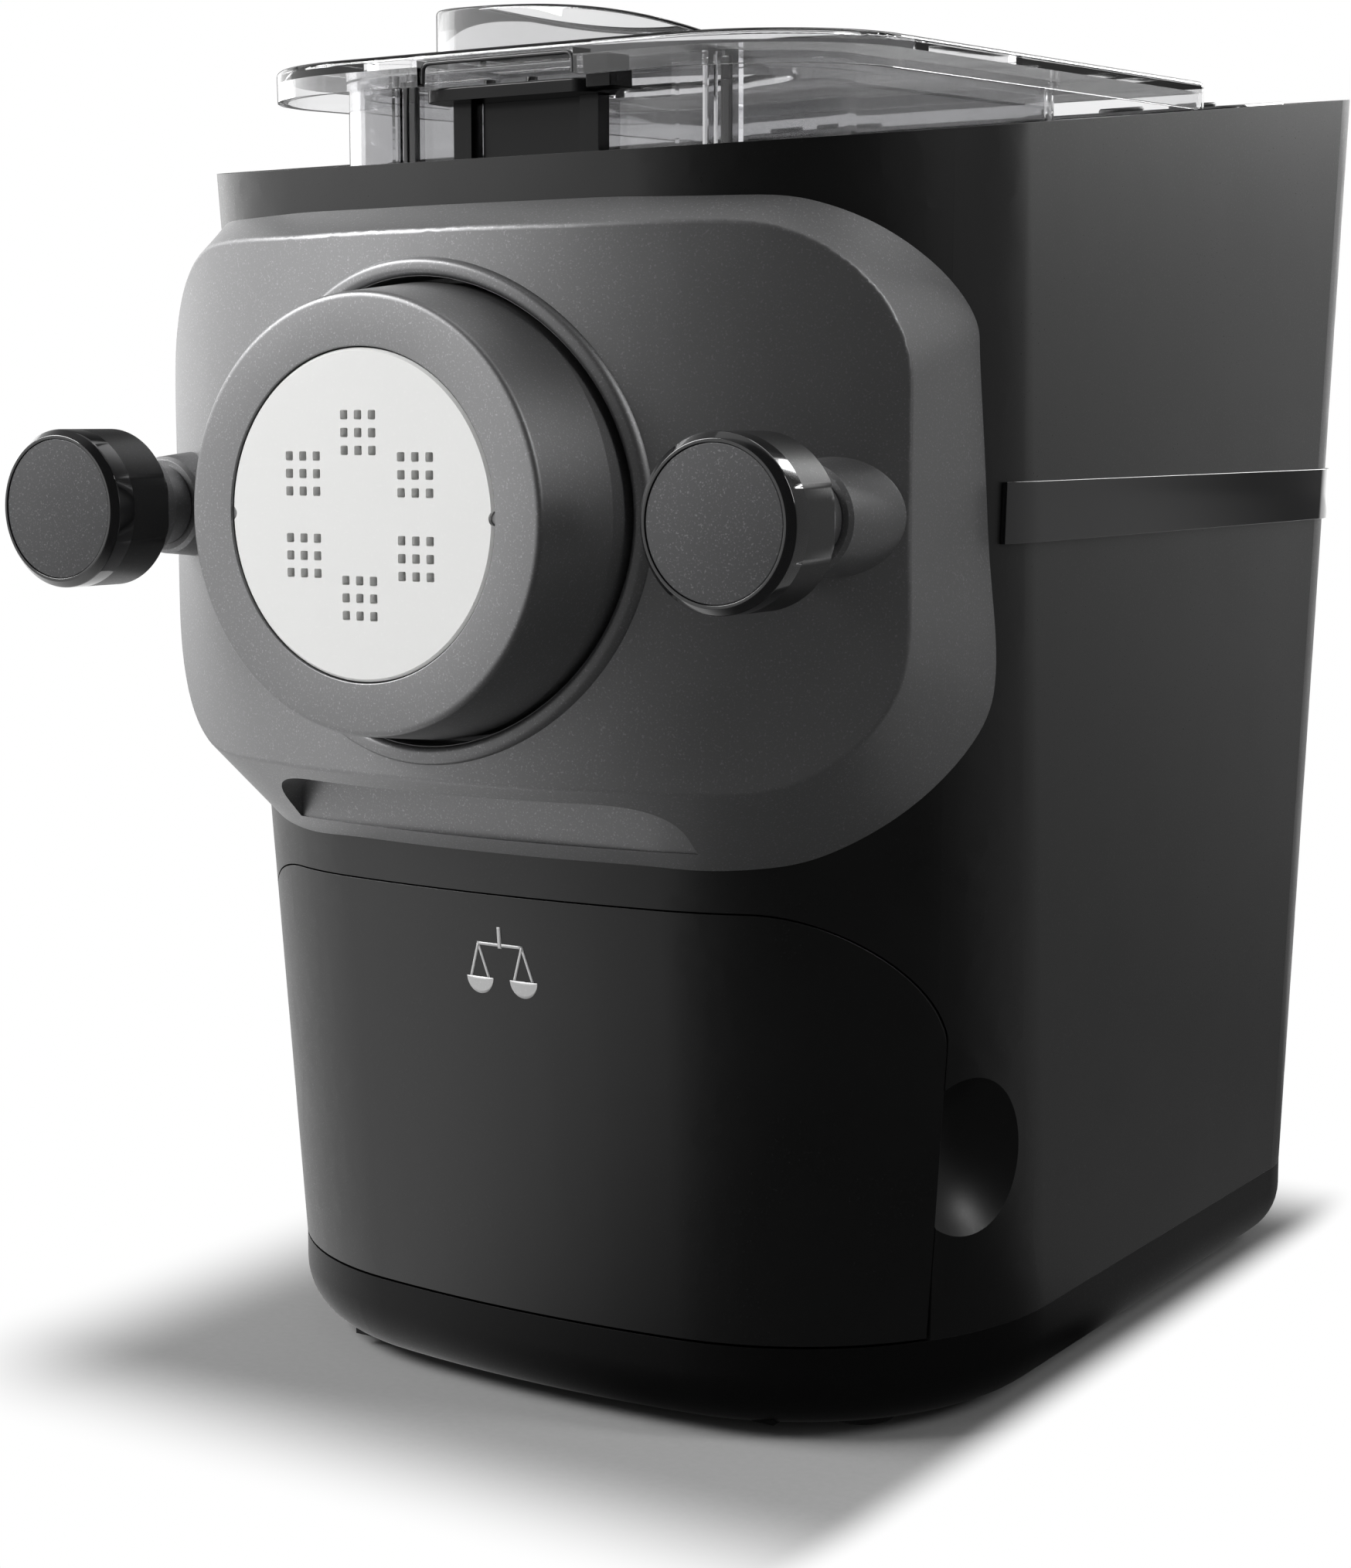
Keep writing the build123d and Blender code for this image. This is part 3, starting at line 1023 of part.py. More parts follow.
def motor():
    """Motor can with a front boss and rear end cap."""
    shape = along_y(0, MOTOR_Z, MOTOR_R, MOTOR_Y0, MOTOR_Y1)
    shape += along_y(0, MOTOR_Z, MOTOR_BOSS_R, CASE_Y1, MOTOR_Y1 + MOTOR_CAP)
    shape -= along_y(0, MOTOR_Z, AXLE_R + RUN, CASE_Y1 - 10, MOTOR_Y1 + 10)
    for k in range(8):
        slot = Pos(MOTOR_R, MOTOR_Y1 - 10, 0) * Box(6, 12, 6)
        shape -= Pos(0, 0, MOTOR_Z) * Rot(0, 45 * k, 0) * slot
    return shape


def main_board():
    """Power board on four posts behind the bulkhead."""
    x0, x1, z0, z1 = POWER_BOARD
    y0 = BULKHEAD_Y1 + POWER_POST_L
    y1 = y0 + POWER_BOARD_T
    shape = block(x0, x1, y0, y1, z0, z1)
    for x in (x0 + 4, x1 - 4):
        for z in (z0 + 5, z1 - 5):
            shape += along_y(x, z, POWER_POST_R, BULKHEAD_Y1, y0)
    for x, z, w, h in POWER_BLOCKS:
        shape += block(x - w / 2, x + w / 2, y1, y1 + 10.4, z - h / 2, z + h / 2)
    return shape


# ---------------------------------------------------------------- rear fittings
def cord_gland():
    """Strain-relief gland in the rear cover where the mains cord would leave."""
    y = rear_y(GLAND_Z) + 2.3
    rim = y + GLAND_RIM_T
    nose = y + GLAND_NOSE
    profile = [
        (GLAND_BORE_R, y - GLAND_L), (GLAND_R, y - GLAND_L), (GLAND_R, y), (GLAND_RIM_R, y),
        (GLAND_RIM_R, rim), (GLAND_BORE_R + 3, nose), (GLAND_BORE_R, nose),
    ]
    return turned(GLAND_X, GLAND_Z, profile)


def switch_block(inset, y0, y1):
    """Rectangular column of the mains switch."""
    w, h = SWITCH_HALF_W - inset, SWITCH_HALF_H - inset
    return block(SWITCH_X - w, SWITCH_X + w, y0, y1, SWITCH_Z - h, SWITCH_Z + h)


def switch_frame():
    """Frame of the mains switch in the rear cover, closed at its back."""
    y1 = rear_y(SWITCH_Z) + 2.9
    y0 = y1 - SWITCH_DEPTH - 2.6
    frame = switch_block(0, y0, y1) - switch_block(SWITCH_FRAME_WALL, y0 + SWITCH_BACK, FAR)
    return frame


def mains_switch():
    """Rocker of the mains switch."""
    y = rear_y(SWITCH_Z) - 3.7
    length = 2 * (SWITCH_HALF_W - SWITCH_FRAME_WALL - GAP)
    rocker = Rot(0, 90, 0) * Cylinder(ROCKER_R, length)
    cap = Pos(0, 3.8, 0) * Box(length, 5, 2 * ROCKER_R + 1)
    return Pos(SWITCH_X, y, SWITCH_Z) * (rocker + cap)


def base_screws():
    """Six cross-head screws sunk in the tray's underside."""
    shape = Part()
    head_z = BASE_Z + 0.5
    for x, y in screw_places():
        shape += Pos(x, y, head_z + TRAY_HEAD_H / 2) * Cylinder(TRAY_HEAD_R, TRAY_HEAD_H)
        shape += Pos(x, y, head_z + TRAY_BOSS_H / 2 + 0.75) * Cylinder(TRAY_SCREW_R, TRAY_BOSS_H - 1)
        for turn in sides(45):
            shape -= Pos(x, y, head_z) * Rot(0, 0, turn) * Box(4, 0.9, 1.6)
    return shape


# ---------------------------------------------------------------- pieces
save("front_panel", front_panel())
save("die_holder", die_holder())
save("shaping_disc", shaping_disc())
for label, x in (("left", -KNOB_X), ("right", KNOB_X)):
    save(f"knob_{label}_head", knob_head(x))
    save(f"knob_{label}_cap", knob_cap(x))
    save(f"knob_{label}_stem", knob_stem(x))
save("housing_front", housing_front())
save("stud_bushes", stud_bushes())
save("side_left", side_shell(-1))
save("side_right", side_shell(1))
save("gloss_band", gloss_band())
save("rear_cover", rear_cover())
save("base_tray", base_tray())
save("feet", feet())
save("load_cells", load_cells())
save("drawer_deck", drawer_deck())
save("chassis", chassis())
save("top_deck", top_deck())
save("control_bezel", control_bezel())
save("display_glass", display_glass())
for i, x in enumerate(CONTROL_X):
    save(f"button_{i + 1}", button(x))
save("control_board", control_board())
save("drawer_front", drawer_front())
save("drawer_box", drawer_box())
save("mixing_chamber", mixing_chamber())
save("shaft_seal", shaft_seal())
save("extrusion_tube", extrusion_tube())
save("chamber_handle", chamber_handle())
save("extruder_screw", extruder_screw())
save("mixing_paddle", mixing_paddle())
save("lid", lid())
save("lid_funnel", lid_funnel())
save("lid_catch", lid_catch())
save("drive_shaft", drive_shaft())
save("output_gear", output_gear())
save("idler_gears", idler_gears())
save("motor_rotor", motor_rotor())
save("cooling_fan", cooling_fan())
save("gearbox_case", gearbox_case())
save("bearings", bearings())
save("motor", motor())
save("main_board", main_board())
save("cord_gland", cord_gland())
save("switch_frame", switch_frame())
save("mains_switch", mains_switch())
save("base_screws", base_screws())
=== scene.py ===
"""Dressed model of an electric pasta maker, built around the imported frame.

All sizes are metres in the frame's own axes: +X to the right seen from the front, the front faces -Y, +Z up.
"""
import logging
import math
from dataclasses import dataclass, field
from enum import Enum
from typing import Mapping, Sequence

import bmesh
import bpy
import numpy as np
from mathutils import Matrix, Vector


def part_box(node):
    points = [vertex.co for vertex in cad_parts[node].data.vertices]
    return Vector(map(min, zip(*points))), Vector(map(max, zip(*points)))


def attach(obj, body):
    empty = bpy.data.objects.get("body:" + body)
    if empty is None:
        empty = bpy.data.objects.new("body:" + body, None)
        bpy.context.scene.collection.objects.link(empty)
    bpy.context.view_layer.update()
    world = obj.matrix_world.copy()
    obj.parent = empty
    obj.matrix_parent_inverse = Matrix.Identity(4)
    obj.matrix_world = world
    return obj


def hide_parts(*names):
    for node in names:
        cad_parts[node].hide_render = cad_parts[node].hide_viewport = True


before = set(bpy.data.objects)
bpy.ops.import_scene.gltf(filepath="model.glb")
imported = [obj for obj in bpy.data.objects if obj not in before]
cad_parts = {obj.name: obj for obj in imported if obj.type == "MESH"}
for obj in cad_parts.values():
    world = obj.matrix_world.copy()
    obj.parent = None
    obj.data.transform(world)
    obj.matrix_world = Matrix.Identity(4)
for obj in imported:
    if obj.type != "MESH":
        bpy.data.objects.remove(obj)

LOG = logging.getLogger("pasta_maker")
MM = 0.001
FRONT_EDGE = 138.444 * MM   # how far the housing's front top edge lies ahead of the frame's middle
AXIS_Z = 217.8 * MM         # height of the barrel's and the knobs' axes
Colour = tuple[float, float, float]


# ---------------------------------------------------------------- shader expressions
class Term:
    """One shader output that takes part in arithmetic, such as 1 - mask * 0.5."""

    def __init__(self, graph: "Graph", socket: bpy.types.NodeSocket | None) -> None:
        """Keep the graph and the socket.

        Args:
            graph: node graph that the socket belongs to.
            socket: output socket that this term stands for, None for a node without outputs.
        """
        self.graph = graph
        self.socket = socket

    def _math(self, operation: str, first: object, second: object) -> "Term":
        """One Math node on two values."""
        return self.graph.node("ShaderNodeMath", {"operation": operation}, {0: first, 1: second})

    def __add__(self, other: object) -> "Term":
        """Sum."""
        return self._math("ADD", self, other)

    __radd__ = __add__

    def __sub__(self, other: object) -> "Term":
        """Difference."""
        return self._math("SUBTRACT", self, other)

    def __rsub__(self, other: object) -> "Term":
        """Difference from a number."""
        return self._math("SUBTRACT", other, self)

    def __mul__(self, other: object) -> "Term":
        """Product."""
        return self._math("MULTIPLY", self, other)

    __rmul__ = __mul__

    def __neg__(self) -> "Term":
        """Opposite."""
        return self._math("MULTIPLY", self, -1.0)

    def __abs__(self) -> "Term":
        """Size without sign."""
        return self._math("ABSOLUTE", self, 0.0)

    def at_least(self, other: object) -> "Term":
        """Larger of two."""
        return self._math("MAXIMUM", self, other)

    def root(self) -> "Term":
        """Square root."""
        return self._math("SQRT", self, 0.0)

    def above(self, low: float, high: float) -> "Term":
        """Smooth step from 0 at low to 1 at high.

        Args:
            low: value at which the step starts.
            high: value at which it is complete.

        Returns:
            The stepped term.
        """
        inputs = {"Value": self, "From Min": low, "From Max": high}
        return self.graph.node("ShaderNodeMapRange", {"interpolation_type": "SMOOTHSTEP"}, inputs)


class Graph:
    """Node graph of one material or world, filled by expressions."""

    def __init__(self, tree: bpy.types.NodeTree) -> None:
        """Empty the tree.

        Args:
            tree: node tree to fill.
        """
        self.tree = tree
        tree.nodes.clear()

    def node(
        self,
        kind: str,
        settings: Mapping[str, object],
        inputs: Mapping[str | int, object],
        output: str | int = 0,
    ) -> Term:
        """Add one node.

        Args:
            kind: Blender's type name of the node.
            settings: properties that are set first.
            inputs: values or terms, by the socket's name or number.
            output: name or number of the socket that is returned.

        Returns:
            The chosen output as a term.
        """
        made = self.tree.nodes.new(kind)
        for key, value in settings.items():
            setattr(made, key, value)
        for key, value in inputs.items():
            if isinstance(value, Term):
                self.tree.links.new(value.socket, made.inputs[key])
            else:
                made.inputs[key].default_value = value
        return Term(self, made.outputs[output]) if made.outputs else Term(self, None)

    def place(self) -> Term:
        """Object coordinates, which are the frame's own."""
        return self.node("ShaderNodeTexCoord", {}, {}, "Object")

    def noise(self, size: float, detail: float = 2.0, where: Term | None = None) -> Term:
        """Noise with features of about a size in metres, from 0 to 1."""
        at = where if where is not None else self.place()
        return self.node("ShaderNodeTexNoise", {}, {"Vector": at, "Scale": 1 / size, "Detail": detail}, 0)

    def blend(self, share: Term, first: Colour, second: Colour) -> Term:
        """Colour between two, by a share from 0 to 1."""
        inputs = {0: share, 6: (*first, 1.0), 7: (*second, 1.0)}
        return self.node("ShaderNodeMix", {"data_type": "RGBA", "clamp_factor": True}, inputs, 2)

    def split(self, vector: Term) -> tuple[Term, Term, Term]:
        """X, Y and Z of a vector."""
        parts = self.node("ShaderNodeSeparateXYZ", {}, {0: vector})
        sockets = parts.socket.node.outputs
        return Term(self, sockets[0]), Term(self, sockets[1]), Term(self, sockets[2])

    def bump(self, height: Term, depth: float, strength: float = 1.0) -> Term:
        """Normal of a relief whose full height is depth metres."""
        return self.node("ShaderNodeBump", {}, {"Height": height, "Distance": depth, "Strength": strength})

    def surface(self, shader: Term) -> None:
        """Join a shader to the output."""
        self.node("ShaderNodeOutputMaterial", {}, {"Surface": shader})


# ---------------------------------------------------------------- finishes
@dataclass(frozen=True)
class Look:
    """A material that is built once and shared by the pieces that wear it."""

    name: str
    slot: str

    def material(self) -> bpy.types.Material:
        """Build the material at the first call and reuse it afterwards.

        Returns:
            The Blender material of this look.
        """
        name = f"look_{self.name}"
        found = bpy.data.materials.get(name)
        if found is not None:
            return found
        made = bpy.data.materials.new(name)
        made.use_nodes = True
        graph = Graph(made.node_tree)
        graph.surface(graph.node("ShaderNodeBsdfPrincipled", {}, self.inputs(graph)))
        return made

    def inputs(self, graph: Graph) -> dict[str, object]:
        """Values and terms for the Principled shader's sockets."""
        raise NotImplementedError


@dataclass(frozen=True)
class Finish(Look):
    """A moulded, painted or turned finish: fine grain, slow mottling and rubbed spots."""

    colour: Colour
    roughness: float
    metallic: float = 0.0
    specular: float = 0.5
    coat: float = 0.0
    grain: float = 0.45 * MM
    relief: float = 0.004 * MM
    speckle: float = 0.0
    mottle: float = 0.06
    brushed: float = 0.0
    patch: float = 38 * MM
    glint: tuple[float, float] = (0.56, 0.74)

    def inputs(self, graph: Graph) -> dict[str, object]:
        """Grain and mottling as colour, roughness and relief.

        Args:
            graph: graph to add the nodes to.

        Returns:
            The shader's inputs by socket name.
        """
        where = graph.place()
        if self.brushed > 0:
            along = {"Vector": where, "Scale": (1.0, self.brushed, 1.0)}
            fine = graph.noise(self.grain, 3.0, graph.node("ShaderNodeMapping", {}, along))
        else:
            fine = graph.noise(self.grain, 2.0, where)
        slow = graph.noise(self.patch, 3.0, where)
        glint = fine.above(*self.glint)
        dark = tuple(c * (1 - self.speckle) for c in self.colour)
        light = tuple(min(1.0, c * (1 + 2.4 * self.speckle)) for c in self.colour)
        rough = slow * (2 * self.mottle) + (self.roughness - self.mottle)
        return {
            "Base Color": graph.blend(glint * 0.75 + slow * 0.25, dark, light),
            "Roughness": rough - glint * (0.25 * self.speckle),
            "Metallic": self.metallic,
            "Specular IOR Level": self.specular,
            "Coat Weight": self.coat,
            "Coat Roughness": 0.05,
            "Normal": graph.bump(fine, self.relief),
        }


@dataclass(frozen=True)
class Clear(Look):
    """Clear moulded plastic with a smoky tint, faint flow lines and handling marks.

    The tint deepens to tint * edge where the wall is seen edge-on.
    """

    tint: Colour
    edge: float
    roughness: float = 0.02
    refraction: float = 1.49

    def inputs(self, graph: Graph) -> dict[str, object]:
        """Tint, marks and slow waviness.

        Args:
            graph: graph to add the nodes to.

        Returns:
            The shader's inputs by socket name.
        """
        where = graph.place()
        slow = graph.noise(30 * MM, 2.0, where)
        marks = graph.noise(5 * MM, 4.0, where).above(0.62, 0.8)
        grazing = graph.node("ShaderNodeLayerWeight", {}, {"Blend": 0.5}, "Facing").above(0.45, 1.0)
        share = grazing * 0.9 + slow * 0.1
        return {
            "Base Color": graph.blend(share, self.tint, tuple(c * self.edge for c in self.tint)),
            "Roughness": marks * 0.05 + self.roughness,
            "IOR": self.refraction,
            "Transmission Weight": 1.0,
            "Normal": graph.bump(slow, 0.15 * MM, 0.25),
        }


HOUSING = Finish("housing_black", "housing_black", (0.003, 0.003, 0.0031), 0.4, specular=0.55, speckle=0.5)
BASE = Finish("base_black", "housing_black", (0.003, 0.003, 0.0031), 0.42, specular=0.15, speckle=0.4)
PANEL = Finish(
    "panel_gunmetal", "panel_graphite", (0.23, 0.23, 0.233), 0.46,
    metallic=0.85, speckle=0.18, relief=0.005 * MM,
)
TRIM = Finish(
    "trim_gloss_black", "trim_gloss", (0.006, 0.006, 0.0065), 0.08, coat=0.6, relief=0.0004 * MM, mottle=0.02
)
BRACKET = Finish("bracket_black", "trim_gloss", (0.004, 0.004, 0.0042), 0.2, specular=0.22, relief=0.001 * MM)
KNOB = Finish("knob_black", "knob_black", (0.010, 0.010, 0.0105), 0.42, speckle=0.4)
KNOB_RING = Finish(
    "knob_ring_black", "knob_black", (0.006, 0.006, 0.0065), 0.12, coat=0.5, relief=0.0005 * MM, mottle=0.02
)
KNOB_CAP = Finish(
    "knob_cap_satin", "knob_black", (0.075, 0.075, 0.077), 0.5, metallic=0.6, speckle=0.35, relief=0.006 * MM
)
DISC = Finish(
    "disc_white", "disc_white", (0.82, 0.82, 0.81), 0.38, speckle=0.01, relief=0.002 * MM, grain=0.8 * MM
)
STEEL = Finish("steel_turned", "steel", (0.58, 0.58, 0.59), 0.28, metallic=1.0, brushed=0.08, speckle=0.08)
BRASS = Finish(
    "brass_turned", "brass_bush", (0.72, 0.56, 0.28), 0.3, metallic=1.0, brushed=0.08, speckle=0.08
)
RUBBER = Finish("rubber_black", "rubber_black", (0.022, 0.022, 0.022), 0.8, speckle=0.2, relief=0.02 * MM)
DISPLAY = Finish(
    "display_black", "display_black", (0.008, 0.009, 0.012), 0.05, coat=0.8, relief=0.0002 * MM, mottle=0.01
)
FRAME_GREY = Finish("frame_grey", "frame_grey", (0.24, 0.24, 0.25), 0.55, speckle=0.08, relief=0.01 * MM)
GEAR_WHITE = Finish("gear_acetal", "gear_white", (0.76, 0.75, 0.71), 0.4, speckle=0.03)
CASE = Finish("case_cast", "case_metal", (0.5, 0.5, 0.51), 0.45, metallic=1.0, speckle=0.2, relief=0.03 * MM)
MOTOR = Finish("motor_zinc", "motor_metal", (0.42, 0.42, 0.43), 0.35, metallic=1.0, speckle=0.15, brushed=0.1)
BOARD = Finish("board_green", "board_green", (0.03, 0.16, 0.06), 0.35, coat=0.3, speckle=0.15)
BOX = Finish("drawer_grey", "box_grey", (0.11, 0.11, 0.115), 0.45, speckle=0.1, relief=0.006 * MM)
FOOD_WHITE = Finish("food_white", "dough_white", (0.78, 0.78, 0.76), 0.4, speckle=0.02)
PRINT = Finish(
    "print_silver", "housing_black", (0.5, 0.5, 0.5), 0.45, metallic=0.3, speckle=0.05, relief=0.001 * MM
)
RIB = Finish("rib_dark", "clear_smoke", (0.03, 0.03, 0.031), 0.2, coat=0.3, relief=0.001 * MM)
SMOKE = Clear("clear_smoke", "clear_smoke", (0.60, 0.60, 0.61), edge=0.4)
CLEAR = Clear("clear_lid", "clear_smoke", (0.93, 0.93, 0.935), edge=0.75)
TINTED = Clear("clear_funnel", "clear_smoke", (0.82, 0.82, 0.825), edge=0.35)


# ---------------------------------------------------------------- mesh making
MERGE = 0.001 * MM          # points nearer than this are one


class Mesh:
    """Collects grids of points and turns them into one closed mesh object."""

    def __init__(self, name: str) -> None:
        """Start empty.

        Args:
            name: name of the piece.
        """
        self.name = name
        self.points: list[np.ndarray] = []
        self.faces: list[np.ndarray] = []
        self.count = 0

    def grid(self, points: np.ndarray, around: bool = False) -> "Mesh":
        """Add quads between neighbouring points.

        Args:
            points: array of shape (rows, columns, 3).
            around: whether the last column joins the first.

        Returns:
            This mesh, for chaining.
        """
        rows, columns = points.shape[:2]
        number = np.arange(rows * columns).reshape(rows, columns) + self.count
        right = np.roll(number, -1, axis=1)
        if not around:
            number, right = number[:, :-1], right[:, :-1]
        quads = np.stack([number[:-1], right[:-1], right[1:], number[1:]], axis=-1)
        self.points.append(points.reshape(-1, 3))
        self.faces.append(quads.reshape(-1, 4))
        self.count += rows * columns
        return self

    def object(self, smooth_angle: float = 40.0) -> bpy.types.Object:
        """Make the Blender object at the origin, doubles merged and faces outward.

        Args:
            smooth_angle: edges sharper than this many degrees stay sharp.

        Returns:
            The linked object.
        """
        points = np.concatenate(self.points)
        faces = np.concatenate(self.faces)
        mesh = bpy.data.meshes.new(self.name)
        mesh.vertices.add(len(points))
        mesh.vertices.foreach_set("co", points.astype(np.float32).ravel())
        mesh.loops.add(faces.size)
        mesh.loops.foreach_set("vertex_index", faces.astype(np.int32).ravel())
        mesh.polygons.add(len(faces))
        mesh.polygons.foreach_set("loop_start", np.arange(0, faces.size, 4, dtype=np.int32))
        mesh.update(calc_edges=True)
        tidy_mesh(mesh)
        return linked(self.name, mesh, smooth_angle)


def tidy_mesh(mesh: bpy.types.Mesh) -> None:
    """Merge doubles, drop collapsed faces and turn normals outward.

    Args:
        mesh: mesh to change.
    """
    work = bmesh.new()
    work.from_mesh(mesh)
    bmesh.ops.remove_doubles(work, verts=work.verts, dist=MERGE)
    bmesh.ops.dissolve_degenerate(work, edges=work.edges, dist=MERGE)
    bmesh.ops.recalc_face_normals(work, faces=work.faces)
    work.to_mesh(mesh)
    work.free()
    mesh.update()


def linked(name: str, mesh: bpy.types.Mesh, smooth_angle: float) -> bpy.types.Object:
    """Object of a mesh, linked to the scene, smooth but for sharp edges.

    Args:
        name: name of the piece.
        mesh: its mesh.
        smooth_angle: edges sharper than this many degrees stay sharp.

    Returns:
        The linked object.
    """
    mesh.polygons.foreach_set("use_smooth", np.ones(len(mesh.polygons), bool))
    mesh.set_sharp_from_angle(angle=math.radians(smooth_angle))
    made = bpy.data.objects.new(name, mesh)
    bpy.context.scene.collection.objects.link(made)
    return made


def rounded(
    corners: Sequence[tuple[float, float, float]],
    closed: bool = False,
    steps: int = 5,
) -> np.ndarray:
    """Polyline with its corners rounded.

    Each corner (a, b, radius) is cut back along both runs by radius * tan(turn / 2). The two cut points p and
    q are bridged by the curve p (1 - s)^2 + 2 corner s (1 - s) + q s^2 with s from 0 to 1.

    Args:
        corners: the corner points with their radii.
        closed: whether the last run leads back to the first corner.
        steps: points on each arc.

    Returns:
        Array of shape (points, 2).
    """
    at = np.array([c[:2] for c in corners], float)
    radii = np.array([c[2] for c in corners], float)
    before = at - np.roll(at, 1, axis=0)
    after = np.roll(at, -1, axis=0) - at
    length_in = np.maximum(np.linalg.norm(before, axis=1), 1e-9)
    length_out = np.maximum(np.linalg.norm(after, axis=1), 1e-9)
    cos_turn = np.clip(np.sum(before * after, axis=1) / length_in / length_out, -1, 1)
    cut = radii * np.tan(np.arccos(cos_turn) / 2)
    cut = np.minimum(cut, 0.48 * np.minimum(length_in, length_out))
    if not closed:
        cut[[0, -1]] = 0.0
    start = at - before * (cut / length_in)[:, None]
    end = at + after * (cut / length_out)[:, None]
    share = np.linspace(0, 1, steps)[None, :, None]
    arcs = start[:, None] * (1 - share) ** 2 + 2 * at[:, None] * share * (1 - share)
    arcs = arcs + end[:, None] * share ** 2
    kept = [arc if c > 1e-9 else arc[:1] for arc, c in zip(arcs, cut)]
    return np.concatenate(kept)


def lathe(name: str, axis: tuple[float, float], profile: np.ndarray, turns: int = 160) -> bpy.types.Object:
    """Solid of revolution about a Y-parallel axis.

    A point of the closed profile (r, y) at angle t goes to (x0 + r cos t, y, z0 + r sin t).

    Args:
        name: name of the piece.
        axis: x and z of the axis.
        profile: array of (radius, y), drawn once round the section.
        turns: facets round the axis.

    Returns:
        The linked object.
    """
    angle = np.linspace(0, 2 * np.pi, turns, endpoint=False)
    radius, along = profile[:, :1], profile[:, 1:]
    points = np.stack(
        [axis[0] + radius * np.cos(angle), along + 0 * angle, axis[1] + radius * np.sin(angle)], axis=-1
    )
    return Mesh(name).grid(points, around=True).object()


class Edge(Enum):
    """Width of the rounding that a moulded piece's edges get."""

    FINE = 0.15 * MM
    SOFT = 0.35 * MM


def softened(node: str, edge: Edge, name: str | None = None) -> bpy.types.Object:
    """Copy of a CAD node's mesh with its edges rounded.

    Args:
        node: name of the CAD node.
        edge: how far the edges are rounded.
        name: name of the new piece, the node's with "_soft" when left out.

    Returns:
        The linked object, which replaces the node.
    """
    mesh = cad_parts[node].data.copy()
    mesh.name = name or f"{node}_soft"
    mesh.materials.clear()
    if "custom_normal" in mesh.attributes:
        mesh.attributes.remove(mesh.attributes["custom_normal"])
    work = bmesh.new()
    work.from_mesh(mesh)
    bmesh.ops.remove_doubles(work, verts=work.verts, dist=MERGE)
    flat = math.radians(0.4)
    bmesh.ops.dissolve_limit(work, angle_limit=flat, verts=work.verts, edges=work.edges)
    work.to_mesh(mesh)
    work.free()
    made = linked(mesh.name, mesh, 180.0)
    bevel = made.modifiers.new("edges", "BEVEL")
    bevel.width = edge.value
    bevel.segments = 2
    bevel.limit_method = "ANGLE"
    bevel.angle_limit = math.radians(32)
    bevel.use_clamp_overlap = True
    bevel.miter_outer = "MITER_ARC"
    shade = made.modifiers.new("shade", "WEIGHTED_NORMAL")
    shade.keep_sharp = True
    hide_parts(node)
    return made


# ---------------------------------------------------------------- sub-assemblies
@dataclass
class Assembly:
    """A group of pieces that ride on one CAD body."""

    body: str

    def dress(self, made: bpy.types.Object, finish: Look, body: str | None = None) -> bpy.types.Object:
        """Give a piece its finish and join it to its body.

        Args:
            made: the piece.
            finish: its finish.
            body: CAD body it rides on, the assembly's own when left out.

        Returns:
            The piece.
        """
        made.data.materials.clear()
        made.data.materials.append(finish.material())
        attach(made, body or self.body)
        LOG.info("%s: %s on %s", made.name, finish.name, body or self.body)
        return made

    def paint(self, finish: Look, *nodes: str) -> None:
        """Give CAD nodes a finish.

        Args:
            finish: the finish.
            nodes: names of the CAD nodes.
        """
        for node in nodes:
            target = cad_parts[node]
            for number in range(len(target.data.materials)):
                target.data.materials[number] = finish.material()
            LOG.info("%s: %s", node, finish.name)

    def soften(self, finish: Look, edge: Edge, *nodes: str) -> None:
        """Replace CAD nodes by copies with rounded edges.

        Args:
            finish: their finish.
            edge: how far the edges are rounded.
            nodes: names of the CAD nodes.
        """
        for node in nodes:
            self.dress(softened(node, edge), finish)


@dataclass
class HousingForm:
    """Outer form of the tapering housing, for what lies on its front."""

    seam_z: float = 24 * MM
    top_z: float = 296.2 * MM
    half_w_seam: float = 105.6 * MM
    half_w_top: float = 109.0 * MM
    lean: float = 24.4 * MM
    bow: float = 17.1 * MM

    def front_y(self, x: np.ndarray, z: np.ndarray) -> np.ndarray:
        """Y of the bowed front at x, z.

        The plan at each height is an arc through the two front corners. With a as the half width there, its
        radius is (a^2 + bow^2) / (2 bow).

        Args:
            x: sideways places.
            z: heights.

        Returns:
            The Y of the face.
        """
        rise = (z - self.seam_z) / (self.top_z - self.seam_z)
        a = self.half_w_seam + (self.half_w_top - self.half_w_seam) * rise
        radius = (a * a + self.bow ** 2) / (2 * self.bow)
        return self.lean * (1 - rise) + radius - np.sqrt(radius ** 2 - x * x) - FRONT_EDGE


